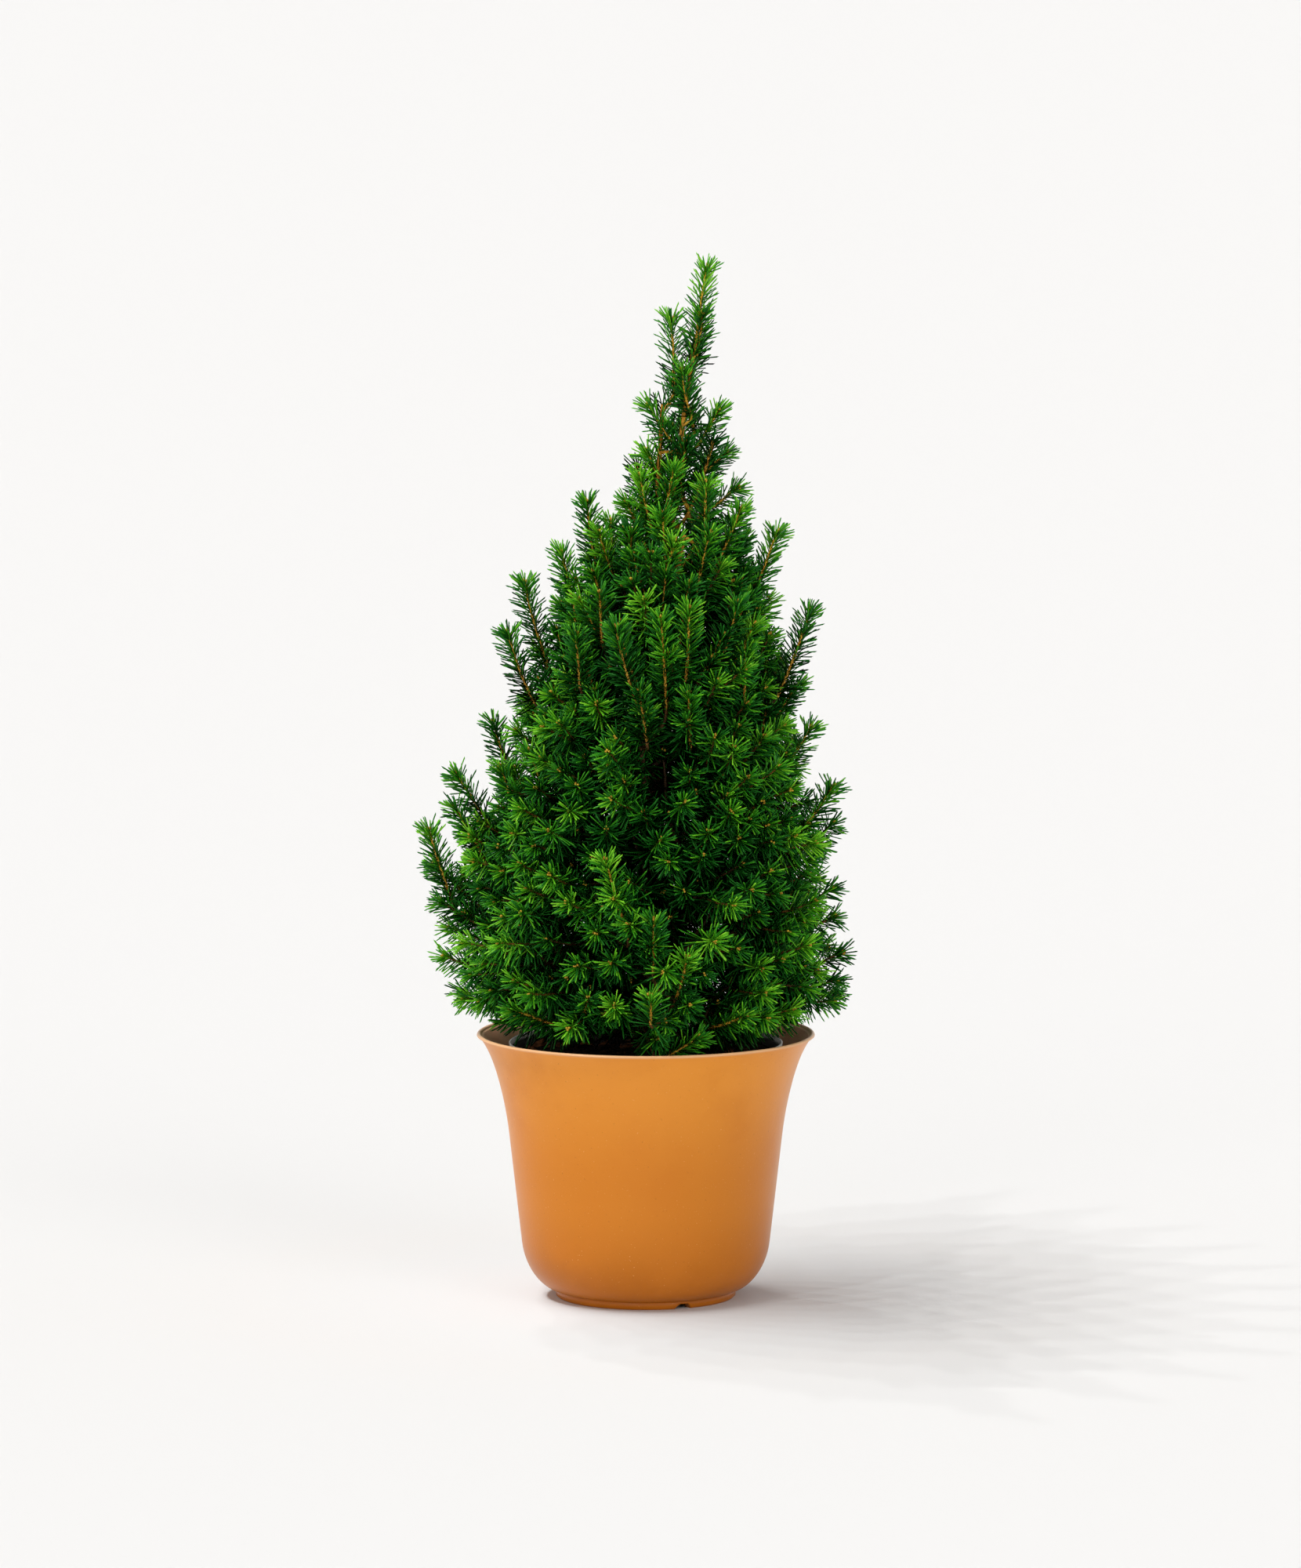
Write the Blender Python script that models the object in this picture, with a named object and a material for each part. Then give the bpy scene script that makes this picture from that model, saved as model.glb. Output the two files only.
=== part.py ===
"""A dwarf Alberta spruce in its pot, at its real size: metres, +Z up, the origin on the ground
under the middle of the pot, and the side that the plant shows the viewer towards -Y.

The pot is a turned bell on a notched foot. A thin nursery liner stands inside it and holds the
soil. One trunk rises out of the soil, boughs leave it by the golden angle, and each bough ends
in a mass of foliage: a small dense core with shoots standing out of it, each shoot a slim
spindle with needles fused on. A mass keeps to the space that lies nearer to its own heart than
to any other, and clear of every limb, so that no two masses meet.
"""

import math
import random

import bmesh
import bpy
import numpy as np
from mathutils import Matrix, Vector

# Pot: a bell whose wall leans out a little, flares at the rim and rounds in to a foot ring.
POT_HEIGHT = 0.130
POT_WALL = 0.0021
POT_SIDES = 36
WALL_RADIUS_AT_GROUND = 0.0576
WALL_SLOPE = 0.115
FLARE_START = 0.080
FLARE_BROAD = 0.007
FLARE_LIP = 0.003
LIP_ROUND = 0.0010
BELLY_TOP = 0.027
BELLY_HEIGHT = 0.0235
BELLY_DEPTH = 0.016
BELLY_TURN = math.radians(82)
BELLY_STEPS = 4
WALL_STEPS = 7
RIM_CROWDING = 1.5
FOOT_RADIUS = 0.044
FOOT_RING = 0.006
FOOT_HEIGHT = 0.0035
FLOOR_THICKNESS = 0.003
FLOOR_CORNER = 0.004
NOTCHES = 3
NOTCH_WIDTH = 0.008
NOTCH_HEIGHT = 0.0024
FIRST_NOTCH = math.radians(-65.3)

# Liner: the thin pot that the plant was raised in, and the soil that fills it.
GAP = 0.0003
LINER_TOP = 0.1255
LINER_RIM_RADIUS = 0.0672
LINER_LIP = 0.0016
LINER_LIP_HEIGHT = 0.004
LINER_BASE_RADIUS = 0.044
LINER_WALL = 0.0010
LINER_BULGE = 0.6
LINER_CORNER = 0.003
LINER_STEPS = (0.004, 0.016, 0.045)
SOIL_INSET = LINER_WALL + GAP + 0.0004
LINER_SIDES = 28
SOIL_EDGE = 0.1200
SOIL_TOP = 0.1222
SOIL_SHOULDER = 0.046
SOIL_CREST = 0.020

# Trunk and crown. The crown's profile is its radius about the trunk's line, at each height.
TRUNK_RADIUS = 0.0066
TRUNK_FLARE = 0.0042
TRUNK_FLARE_HEIGHT = 0.010
TRUNK_TIP_RADIUS = 0.0021
TRUNK_TIP = 0.398
TRUNK_SIDES = 8
FLARE_RINGS = (0, 0.02, 0.05, 0.10)
TRUNK_RINGS = 12
CROWN_TOP = 0.511
LEAN = 0.0306
LEAN_POWER = 2.2
CROWN_PROFILE = (
    (0.132, 0.074),
    (0.150, 0.088),
    (0.172, 0.094),
    (0.226, 0.091),
    (0.258, 0.082),
    (0.300, 0.069),
    (0.345, 0.059),
    (0.375, 0.047),
    (0.400, 0.032),
    (0.430, 0.018),
    (0.485, 0.009),
)
GOLDEN_ANGLE = math.radians(137.508)
SEED = 11

# Boughs, and the heart of the mass that each one ends in. A low bough spreads and a high one
# climbs: BOUGH_RISE gives how far above its foot its heart lies, at each height.
BOUGHS = 24
BOUGH_RADIUS = 0.0026
BOUGH_TIP_RADIUS = 0.0013
BOUGH_SIDES = 5
BOUGH_SHARE = 0.62
BOUGH_BEND = 0.6
BOUGH_RINGS = 60
BOUGH_RISE = ((0.15, 0.006), (0.20, 0.022), (0.30, 0.036), (0.40, 0.034))
LOWEST_FOOT = SOIL_TOP + 0.012
NEXT_FOOT = 0.0012
FINE_STEPS = 400
HEART_REACH = 0.60
LOWEST_HEART = 0.140
HIGHEST_HEART = 0.384
UPRIGHTNESS = 0.55
CLEARANCE = 0.0004
STEM_LENGTH = 0.013
STEM_STEP = 0.004
STEM_TAPER = 0.6
TRUNK_SAMPLES = 24
CORE_LARGEST = 0.046
WHORL_RADIUS = 0.0032
CORE_SMALLEST = 0.009
CORE_NEAR_LIMB = math.radians(42)
CORE_UNEVEN = 0.10
CORE_STEP = 0.0005
CORE_TOP = 0.400
SPIKE_HEIGHT = 0.010
SPIKE_LIFT = 0.35
SPIKE_FACING = 0.45
SPIKE_CLEARANCE = 0.003
MOST_ATTEMPTS = 6
SLIVER = 2e-6
TOUCH = 2e-7
CORE_SHARE = ((0.14, 0.80), (0.30, 0.74), (0.36, 0.62), (0.42, 0.40))

# The two sprigs beside the top: compass angle in degrees, height of the foot, reach and height
# of the heart, then how far the path's bend lies out and up.
SPRIGS = (
    (-35, 0.376, 0.0190, 0.420, 0.0120, 0.004),
    (150, 0.358, 0.0220, 0.406, 0.0130, 0.010),
)

# The two leaders: the main one carries on from the trunk's tip, and the second one, a bough on
# the trunk's left, rises beside it. Each is a bare-stemmed mass with needles all the way up.
SECOND_FOOT = 0.366
SECOND_LEAN = 0.42
SECOND_BEND = 0.005
SECOND_STEM = (0.392, 0.412, 0.437, 0.464)
MAIN_STEM = (0.412, 0.437, 0.462, 0.486)
LEADER_RADIUS = 0.0019
LEADER_NEEDLES = 20

# Shoots: a slim spindle on a twig, and the needles that stand out of it.
SHOOTS = 54
SHOOT_LENGTH = 0.036
LOWEST_SHOOT = 0.140
HIGHEST_SHOOT = 0.468
SHOOT_SPACING = 0.010
SHOOT_LEAN = ((0.140, 84), (0.200, 64), (0.260, 46), (0.320, 30), (0.400, 16))
LONGEST_SHARE = 0.85
SPINDLE_RINGS = (0, 0.38, 1)
SPINDLE_BASE = 0.55
SHOOT_PLACE = 0.3
SPINDLE_RADIUS = 0.0040
SPINDLE_SIDES = 4
TWIG_RADIUS = 0.0012
TWIG_BEND = 0.25
TWIG_DROP = 0.006
HULL_SWELL = 1 / math.cos(math.pi / 8)
NEEDLE_LENGTH = 0.0135
NEEDLE_RADIUS = 0.0015
NEEDLE_SWEEP = math.radians(48)
NEEDLES = 4
FIRST_NEEDLE = 0.30
NEEDLE_SPAN = 0.54
TIP_BRUSH = 0.003
SETTLINGS = ((1, 0), (0.85, 0), (0.7, 0), (0.55, 0), (0.8, 0.4), (0.6, 0.4), (0.6, 0.8))
LOWEST_POINT = 0.1320

# Shoots that break the outline, each by its place about the trunk's line: compass angle in
# degrees (0 right, 180 left, -90 front), reach, height of its tip, lean from upright, length.
STANDOUTS = (
    (0, 0.000, 0.515, 10, 0.040),
    (-70, 0.006, 0.487, 20, 0.026),
    (180, 0.0182, 0.485, 4, 0.030),
    (182, 0.022, 0.442, 34, 0.024),
    (176, 0.020, 0.420, 30, 0.028),
    (186, 0.026, 0.396, 22, 0.030),
    (-8, 0.019, 0.440, 32, 0.026),
    (6, 0.027, 0.418, 48, 0.026),
    (-10, 0.035, 0.401, 50, 0.026),
    (180, 0.044, 0.396, 10, 0.044),
    (186, 0.054, 0.3715, 10, 0.036),
    (176, 0.066, 0.356, 14, 0.040),
    (188, 0.074, 0.331, 16, 0.036),
    (174, 0.082, 0.287, 18, 0.040),
    (184, 0.092, 0.257, 34, 0.038),
    (178, 0.0985, 0.233, 14, 0.038),
    (182, 0.1025, 0.169, 76, 0.032),
    (5, 0.054, 0.381, 22, 0.044),
    (-4, 0.073, 0.343, 18, 0.040),
    (4, 0.072, 0.306, 34, 0.036),
    (-5, 0.079, 0.286, 28, 0.034),
    (3, 0.094, 0.236, 50, 0.034),
    (-3, 0.1015, 0.172, 70, 0.032),
    (-92, 0.056, 0.344, 8, 0.044),
    (-112, 0.068, 0.340, 8, 0.040),
    (-100, 0.091, 0.234, 24, 0.038),
    (90, 0.058, 0.350, 12, 0.042),
    (62, 0.074, 0.312, 20, 0.038),
    (118, 0.088, 0.248, 24, 0.038),
)

COLOURS = {
    "pot": ((0.62, 0.24, 0.06), 0.45),
    "liner": ((0.72, 0.70, 0.66), 0.40),
    "soil": ((0.030, 0.020, 0.014), 0.95),
    "bark": ((0.32, 0.15, 0.05), 0.80),
    "foliage": ((0.030, 0.160, 0.030), 0.55),
}


def clear_scene():
    for item in list(bpy.data.objects):
        bpy.data.objects.remove(item)


def material(name):
    """The plain finish of one kind of surface, made once."""
    made = bpy.data.materials.get(name)
    if made is None:
        colour, roughness = COLOURS[name]
        made = bpy.data.materials.new(name)
        made.use_nodes = True
        shader = made.node_tree.nodes["Principled BSDF"]
        shader.inputs["Base Color"].default_value = (*colour, 1)
        shader.inputs["Roughness"].default_value = roughness
        shader.inputs["Metallic"].default_value = 0
    return made


def add_object(name, vertices, faces, finish):
    """A mesh object from points and faces, with its faces turned outwards."""
    mesh = bpy.data.meshes.new(name)
    mesh.from_pydata([tuple(v) for v in vertices], [], faces)
    shape = bmesh.new()
    shape.from_mesh(mesh)
    bmesh.ops.recalc_face_normals(shape, faces=shape.faces)
    shape.to_mesh(mesh)
    shape.free()
    mesh.materials.append(material(finish))
    made = bpy.data.objects.new(name, mesh)
    bpy.context.scene.collection.objects.link(made)
    return made


def turned(name, profile, sides, finish):
    """A solid turned about Z. The profile runs from the axis underneath, up the outside and
    back to the axis, as (radius, height) pairs."""
    vertices, faces, rings = [], [], []
    for radius, height in profile:
        if radius == 0:
            rings.append([len(vertices)])
            vertices.append((0, 0, height))
            continue
        rings.append(range(len(vertices), len(vertices) + sides))
        for side in range(sides):
            angle = 2 * math.pi * side / sides
            vertices.append((radius * math.cos(angle), radius * math.sin(angle), height))
    for lower, upper in zip(rings, rings[1:]):
        for side in range(sides):
            after = (side + 1) % sides
            if len(lower) == 1:
                faces.append((lower[0], upper[after], upper[side]))
            elif len(upper) == 1:
                faces.append((lower[side], lower[after], upper[0]))
            else:
                faces.append((lower[side], lower[after], upper[after], upper[side]))
    made = add_object(name, vertices, faces, finish)
    made.data.shade_smooth()
    made.data.set_sharp_from_angle(angle=math.radians(40))
    return made


def frame_along(directions):
    """Two side vectors at each point of a path, carried along it without a twist."""
    side = directions[0].orthogonal().normalized()
    sides = []
    for direction in directions:
        side = (side - direction * side.dot(direction)).normalized()
        sides.append((side, direction.cross(side)))
    return sides


def tube_mesh(path, radii, sides, spin=0.0):
    """Points and faces of a closed round tube. A radius of zero closes that end in a point."""
    directions = []
    for index in range(len(path)):
        before, after = path[max(index - 1, 0)], path[min(index + 1, len(path) - 1)]
        directions.append((after - before).normalized())
    vertices, faces, rings = [], [], []
    for point, radius, (across, over) in zip(path, map(float, radii), frame_along(directions)):
        if radius == 0:
            rings.append([len(vertices)])
            vertices.append(point.copy())
            continue
        rings.append(range(len(vertices), len(vertices) + sides))
        for side in range(sides):
            angle = spin + 2 * math.pi * side / sides
            vertices.append(point + radius * (math.cos(angle) * across + math.sin(angle) * over))
    for lower, upper in zip(rings, rings[1:]):
        for side in range(sides):
            after = (side + 1) % sides
            if len(upper) == 1:
                faces.append((lower[side], lower[after], upper[0]))
            else:
                faces.append((lower[side], lower[after], upper[after], upper[side]))
    faces.append(tuple(rings[0]))
    if len(rings[-1]) > 1:
        faces.append(tuple(rings[-1]))
    return vertices, faces


def curve_points(start, bend, end, steps):
    """Points of a quadratic Bezier curve."""
    points = []
    for step in range(steps + 1):
        t = step / steps
        points.append((1 - t) ** 2 * start + 2 * t * (1 - t) * bend + t**2 * end)
    return points


# --- pot, liner and soil ---------------------------------------------------------------------


def pot_wall_radius(height):
    """Outer radius of the pot's wall, above its rounded belly."""
    flare = max(0.0, (height - FLARE_START) / (POT_HEIGHT - FLARE_START))
    return (
        WALL_RADIUS_AT_GROUND
        + WALL_SLOPE * height
        + FLARE_BROAD * flare**2
        + FLARE_LIP * flare**8
    )


def belly_points(steps):
    """The quarter ellipse that rounds the wall in to the foot, from the foot up."""
    points = []
    for step in range(steps + 1):
        turn = BELLY_TURN * (1 - step / steps)
        height = BELLY_TOP - BELLY_HEIGHT * math.sin(turn)
        points.append((pot_wall_radius(height) - BELLY_DEPTH * (1 - math.cos(turn)), height))
    return points


def wall_points(steps):
    """The wall above the belly, with its points closer together towards the rim."""
    points = []
    for step in range(1, steps + 1):
        share = 1 - (1 - step / steps) ** RIM_CROWDING
        height = BELLY_TOP + (POT_HEIGHT - BELLY_TOP) * share
        points.append((pot_wall_radius(height), height))
    return points


def make_pot():
    outer = belly_points(BELLY_STEPS) + wall_points(WALL_STEPS)
    floor = FOOT_HEIGHT + FLOOR_THICKNESS
    inner = [(r - POT_WALL, z) for r, z in outer[:-1] if z > floor + FLOOR_CORNER]
    rim_radius, rim_height = outer.pop()
    lip = [
        (rim_radius, rim_height - LIP_ROUND),
        (rim_radius - 0.5 * POT_WALL, rim_height),
        (rim_radius - POT_WALL, rim_height - 1.2 * LIP_ROUND),
    ]
    profile = [
        (0, FOOT_HEIGHT),
        (FOOT_RADIUS - FOOT_RING, FOOT_HEIGHT),
        (FOOT_RADIUS - FOOT_RING, 0),
        (FOOT_RADIUS, 0),
        (FOOT_RADIUS, FOOT_HEIGHT),
        *outer,
        *lip,
        *reversed(inner),
        (inner[0][0] - FLOOR_CORNER, floor),
        (0, floor),
    ]
    pot = turned("pot", profile, POT_SIDES, "pot")
    for notch in range(NOTCHES):
        angle = FIRST_NOTCH + notch * 2 * math.pi / NOTCHES
        cut_notch(pot, angle)
    return pot


def cut_notch(pot, angle):
    """Cuts one drain notch through the foot ring."""
    bpy.ops.mesh.primitive_cube_add(size=1)
    cutter = bpy.context.object
    length = 3 * FOOT_RING
    middle = FOOT_RADIUS - FOOT_RING / 2
    cutter.data.transform(Matrix.Diagonal((length, NOTCH_WIDTH, 2 * NOTCH_HEIGHT, 1)))
    cutter.data.transform(Matrix.Translation((middle, 0, 0)))
    cutter.data.transform(Matrix.Rotation(angle, 4, "Z"))
    cut = pot.modifiers.new("notch", "BOOLEAN")
    cut.operation = "DIFFERENCE"
    cut.object = cutter
    apply_modifier(pot, cut)
    bpy.data.objects.remove(cutter)


def apply_modifier(item, modifier):
    with bpy.context.temp_override(object=item, active_object=item):
        bpy.ops.object.modifier_apply(modifier=modifier.name)


def liner_radius(height):
    """Outer radius of the liner's straight wall, below its lip."""
    base = FOOT_HEIGHT + FLOOR_THICKNESS + GAP
    share = (height - base) / (LINER_TOP - base)
    top = LINER_RIM_RADIUS - LINER_LIP
    return LINER_BASE_RADIUS + (top - LINER_BASE_RADIUS) * share**LINER_BULGE


def make_liner():
    base = FOOT_HEIGHT + FLOOR_THICKNESS + GAP
    heights = [*(base + step for step in LINER_STEPS), LINER_TOP - LINER_LIP_HEIGHT]
    outer = [(liner_radius(z), z) for z in heights]
    lip_radius = liner_radius(LINER_TOP - LINER_LIP_HEIGHT) + LINER_LIP
    profile = [
        (0, base),
        (LINER_BASE_RADIUS - LINER_CORNER, base),
        *outer,
        (lip_radius, LINER_TOP - 0.9 * LINER_LIP_HEIGHT),
        (lip_radius, LINER_TOP),
        (lip_radius - LINER_WALL, LINER_TOP),
        *[(r - LINER_WALL, z) for r, z in reversed(outer)],
        (LINER_BASE_RADIUS - LINER_CORNER - LINER_WALL, base + LINER_WALL),
        (0, base + LINER_WALL),
    ]
    return turned("liner", profile, LINER_SIDES, "liner")


def make_soil():
    """The root ball: it fills the liner to just below its lip, and rises a little in the middle."""
    base = FOOT_HEIGHT + FLOOR_THICKNESS + 2 * GAP + LINER_WALL
    heights = [*(base + step for step in LINER_STEPS), SOIL_EDGE]
    profile = [
        (0, base),
        (LINER_BASE_RADIUS - LINER_CORNER - 2 * LINER_WALL, base),
        *[(liner_radius(z) - SOIL_INSET, z) for z in heights],
        (SOIL_SHOULDER, (SOIL_EDGE + SOIL_TOP) / 2),
        (SOIL_CREST, SOIL_TOP),
        (0, SOIL_TOP),
    ]
    return turned("soil", profile, LINER_SIDES, "soil")


# --- trunk and boughs ------------------------------------------------------------------------


def spine(height):
    """The trunk's middle line: upright at the soil, leaning to the right towards the tip."""
    share = max(0.0, (height - SOIL_TOP) / (CROWN_TOP - SOIL_TOP))
    return Vector((LEAN * share**LEAN_POWER, 0, height))


def trunk_radius(height):
    """Root flare at the soil, then an even taper to the tip."""
    above = height - SOIL_TOP
    share = above / (TRUNK_TIP - SOIL_TOP)
    taper = TRUNK_RADIUS + (TRUNK_TIP_RADIUS - TRUNK_RADIUS) * share
    return taper + TRUNK_FLARE * math.exp(-above / TRUNK_FLARE_HEIGHT)


def make_trunk():
    foot = SOIL_TOP + GAP
    heights = [foot + (TRUNK_TIP - foot) * share for share in FLARE_RINGS]
    heights += [foot + (TRUNK_TIP - foot) * n / TRUNK_RINGS for n in range(2, TRUNK_RINGS + 1)]
    path = [spine(z) for z in heights]
    vertices, faces = tube_mesh(path, [trunk_radius(z) for z in heights], TRUNK_SIDES)
    return add_object("trunk", vertices, faces, "bark")


def crown_radius(height):
    """Radius of the crown about the spine."""
    heights, radii = zip(*CROWN_PROFILE)
    return float(np.interp(height, heights, radii))


def even_heights(count, bottom, top):
    """Heights that share the crown's surface evenly between them."""
    fine = np.linspace(bottom, top, FINE_STEPS)
    area = np.cumsum([crown_radius(z) for z in fine])
    return [float(np.interp((n + 0.5) / count, area / area[-1], fine)) for n in range(count)]


def around(azimuth):
    return Vector((math.cos(azimuth), math.sin(azimuth), 0))


def bough_rise(height):
    """How far above its foot a bough's heart lies: low boughs spread, high ones climb."""
    return float(np.interp(height, *zip(*BOUGH_RISE)))


def limb(azimuth, foot_height, heart, bend_out, bend_up):
    """A bough's foot beside the trunk, the bend of its path, and the heart of its mass."""
    out = around(azimuth)
    thickness = min(BOUGH_RADIUS, BOUGH_SHARE * trunk_radius(foot_height))
    tilt = thickness * bend_up / math.hypot(bend_out, bend_up)
    foot = spine(foot_height) + out * (trunk_radius(foot_height) + GAP + tilt)
    bend = foot + out * bend_out + Vector((0, 0, bend_up))
    return {"foot": foot, "bend": bend, "heart": heart, "thickness": thickness}


def grow_limbs():
    """The boughs, wound up the trunk by the golden angle, and the sprigs beside the top."""
    limbs = []
    for index, height in enumerate(even_heights(BOUGHS, LOWEST_HEART, HIGHEST_HEART)):
        azimuth = index * GOLDEN_ANGLE
        reach = HEART_REACH * crown_radius(height)
        heart = spine(height) + around(azimuth) * reach
        foot_height = max(height - bough_rise(height), LOWEST_FOOT + NEXT_FOOT * index)
        limbs.append(limb(azimuth, foot_height, heart, BOUGH_BEND * reach, 0))
    for degrees, foot_height, reach, heart_height, bend_out, bend_up in SPRIGS:
        azimuth = math.radians(degrees)
        heart = spine(heart_height) + around(azimuth) * reach
        limbs.append(limb(azimuth, foot_height, heart, bend_out, bend_up))
    return limbs


def second_leader():
    """The fork's short bough up to the second leader, and the leader's own stem."""
    stem = [Vector((SECOND_LEAN * spine(z).x, 0, z)) for z in SECOND_STEM]
    grown = limb(math.pi, SECOND_FOOT, stem[0], SECOND_BEND, SECOND_BEND)
    path = curve_points(grown["foot"], grown["bend"], stem[0], 4)
    onward = (path[-1] - path[-2]).normalized()
    return path, [path[-1] + onward * GAP, *stem[1:]], grown["thickness"]


def main_leader():
    return [spine(TRUNK_TIP + GAP)] + [spine(z) for z in MAIN_STEM]


def split_limb(grown):
    """The limb's path up to its mass, and the stem that carries on inside, past the gap."""
    heart = grown["heart"]
    path = curve_points(grown["foot"], grown["bend"], heart, BOUGH_RINGS)
    last = max(n for n, p in enumerate(path) if (p - heart).length > STEM_LENGTH)
    tip = path[last]
    onward = (path[last] - path[last - 1]).normalized()
    stem_start = tip + onward * GAP
    picks = [0, 2] + [round(last * step / 3) for step in range(1, 4)]
    return [path[n] for n in picks], [stem_start, stem_start + onward * STEM_STEP, heart]


def make_bough(name, path, thickness):
    radii = np.linspace(thickness, min(thickness, BOUGH_TIP_RADIUS), len(path))
    vertices, faces = tube_mesh(path, radii, BOUGH_SIDES)
    return add_object(name, vertices, faces, "bark")


# --- foliage ---------------------------------------------------------------------------------


def heart_of(stem):
    """The middle of a mass: the end of an ordinary stem, or halfway up a leader's."""
    return stem[-1] if len(stem) == 3 else stem[2]


class Space:
    """The room that each mass may fill: nearer to its own heart than to any other, above the
    pot's rim, and clear of every limb. Heights count for less than widths when nearness is
    measured, so the spaces stand upright, as the shoots in them do."""

    def __init__(self, stems, limbs):
        self.stems = stems
        self.hearts = np.array([tuple(heart_of(stem)) for stem in stems])
        self.metric = np.array([1, 1, UPRIGHTNESS])
        starts, ends, radii = [], [], []
        for path, thick, thin in limbs:
            for n, (start, end) in enumerate(zip(path, path[1:])):
                starts.append(tuple(start))
                ends.append(tuple(end))
                radii.append(thick + (thin - thick) * n / (len(path) - 1))
        self.starts, self.ends = np.array(starts), np.array(ends)
        self.radii = np.array(radii)
        shares = np.linspace(0, 1, 9)[:, None, None]
        self.samples = (self.starts + shares * (self.ends - self.starts)).reshape(-1, 3)
        self.sample_radii = np.tile(self.radii, 9)

    def origin(self, mass, point):
        """Where a twig leaves its mass: the heart, or the stem of a leader below the shoot."""
        stem = self.stems[mass]
        lower = [p for p in stem[2:] if p.z < point.z - TWIG_DROP]
        return lower[-1] if lower else heart_of(stem)

    def nearest(self, point, count):
        """The masses whose hearts lie nearest to a point, nearest first."""
        apart = (self.hearts - np.array(point)) * self.metric
        order = np.argsort(np.linalg.norm(apart, axis=1))
        return [int(mass) for mass in order[:count]]

    def room(self, mass, points):
        """Least distance from the points to the walls of the mass's own space."""
        points = np.array([tuple(p) for p in points])
        lowest = points[:, 2].min() - LOWEST_POINT
        points = points * self.metric
        own = self.hearts[mass] * self.metric
        others = np.delete(self.hearts, mass, axis=0) * self.metric
        apart = np.linalg.norm(others - own, axis=1)
        own_square = ((points - own) ** 2).sum(axis=1)[:, None]
        other_square = ((points[:, None] - others[None]) ** 2).sum(axis=2)
        walls = (other_square - own_square) / (2 * apart)
        return float(min(walls.min(), lowest))

    def off_limbs(self, line):
        """Least distance from a line of points to the surface of any limb."""
        points = [a.lerp(b, step / 6) for a, b in zip(line, line[1:] or line) for step in range(7)]
        points = np.array([tuple(p) for p in points])[:, None]
        along = self.ends - self.starts
        share = ((points - self.starts) * along).sum(axis=2) / (along**2).sum(axis=1)
        closest = self.starts + np.clip(share, 0, 1)[..., None] * along
        return float((np.linalg.norm(points - closest, axis=2) - self.radii).min())

    def limb_reach(self, heart, ray):
        """How far a ray may reach, held short of each limb that lies near its direction."""
        away = self.samples - np.array(heart)
        apart = np.linalg.norm(away, axis=1)
        near = away @ np.array(ray) > apart * math.cos(CORE_NEAR_LIMB)
        free = apart - self.sample_radii - CLEARANCE
        return float(free[near].min()) if near.any() else CORE_LARGEST

    def holds(self, mass, vertices, axis, radius):
        """Whether a shape about an axis stays in the mass's space and off the limbs."""
        if self.room(mass, vertices) < CLEARANCE:
            return False
        return self.off_limbs(axis) > radius + CLEARANCE


def shoot_lean(height):
    """Angle of a shoot from upright: low shoots spread, high ones stand."""
    return float(np.interp(height, *zip(*SHOOT_LEAN)))


def pointing(azimuth, lean):
    return around(azimuth) * math.sin(lean) + Vector((0, 0, math.cos(lean)))


def grow_shoots(rng):
    """Tip, direction and length of every shoot: the ones that break the outline first, then the
    rest, wound up the crown by the golden angle wherever there is still room."""
    shoots = []
    for degrees, reach, height, lean, length in STANDOUTS:
        azimuth = math.radians(degrees)
        direction = pointing(azimuth, math.radians(lean))
        tip = spine(height) + around(azimuth) * reach - direction * TIP_BRUSH
        shoots.append((tip, direction, length))
    taken = [tip for tip, _, _ in shoots]
    for index, height in enumerate(even_heights(SHOOTS, LOWEST_SHOOT, HIGHEST_SHOOT)):
        azimuth = index * GOLDEN_ANGLE + rng.uniform(-0.12, 0.12)
        reach = crown_radius(height) * rng.uniform(0.93, 1.03)
        lean = math.radians(shoot_lean(height) + rng.uniform(-9, 9))
        direction = pointing(azimuth + rng.uniform(-0.2, 0.2), lean)
        tip = spine(height) + around(azimuth) * reach - direction * TIP_BRUSH
        if min((tip - other).length for other in taken) > SHOOT_SPACING:
            shoots.append((tip, direction, SHOOT_LENGTH * rng.uniform(0.85, 1.1)))
    return shoots


def shoot_path(heart, tip, direction, length):
    """A twig out of the heart that bends into the straight shoot, as a list of points."""
    length = min(length, LONGEST_SHARE * (tip - heart).length)
    base = tip - direction * length
    bend = base - direction * TWIG_BEND * (base - heart).length
    return curve_points(heart, bend, base, 2)[:-1], [
        base + (tip - base) * share for share in SPINDLE_RINGS
    ]


def spindle(twig, axis, sides, spin, swell):
    """Points and faces of one shoot with its twig."""
    radii = [TWIG_RADIUS] * len(twig)
    radii += [SPINDLE_BASE * SPINDLE_RADIUS * swell, SPINDLE_RADIUS * swell, 0]
    return tube_mesh(twig + axis, radii, sides, spin)


def settle(space, tip, direction, length):
    """The mass that has room for a shoot, however that is turned about its own line, and its
    twig and axis there. Where it would not fit as it is, the shoot keeps its tip, and is
    shortened or turned towards the mass's heart."""
    for share, turn in SETTLINGS:
        for mass in space.nearest(tip - direction * SHOOT_PLACE * length, 3):
            heart = space.origin(mass, tip - direction * share * length)
            turned_in = direction.lerp((tip - heart).normalized(), turn).normalized()
            twig, axis = shoot_path(heart, tip, turned_in, share * length)
            hull, _ = spindle(twig, axis, 2 * SPINDLE_SIDES, 0, HULL_SWELL)
            clear_twig = space.off_limbs(twig + axis[:1]) > TWIG_RADIUS + CLEARANCE
            if clear_twig and space.holds(mass, hull, axis, SPINDLE_RADIUS):
                return mass, (twig, axis)
    return None


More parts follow.
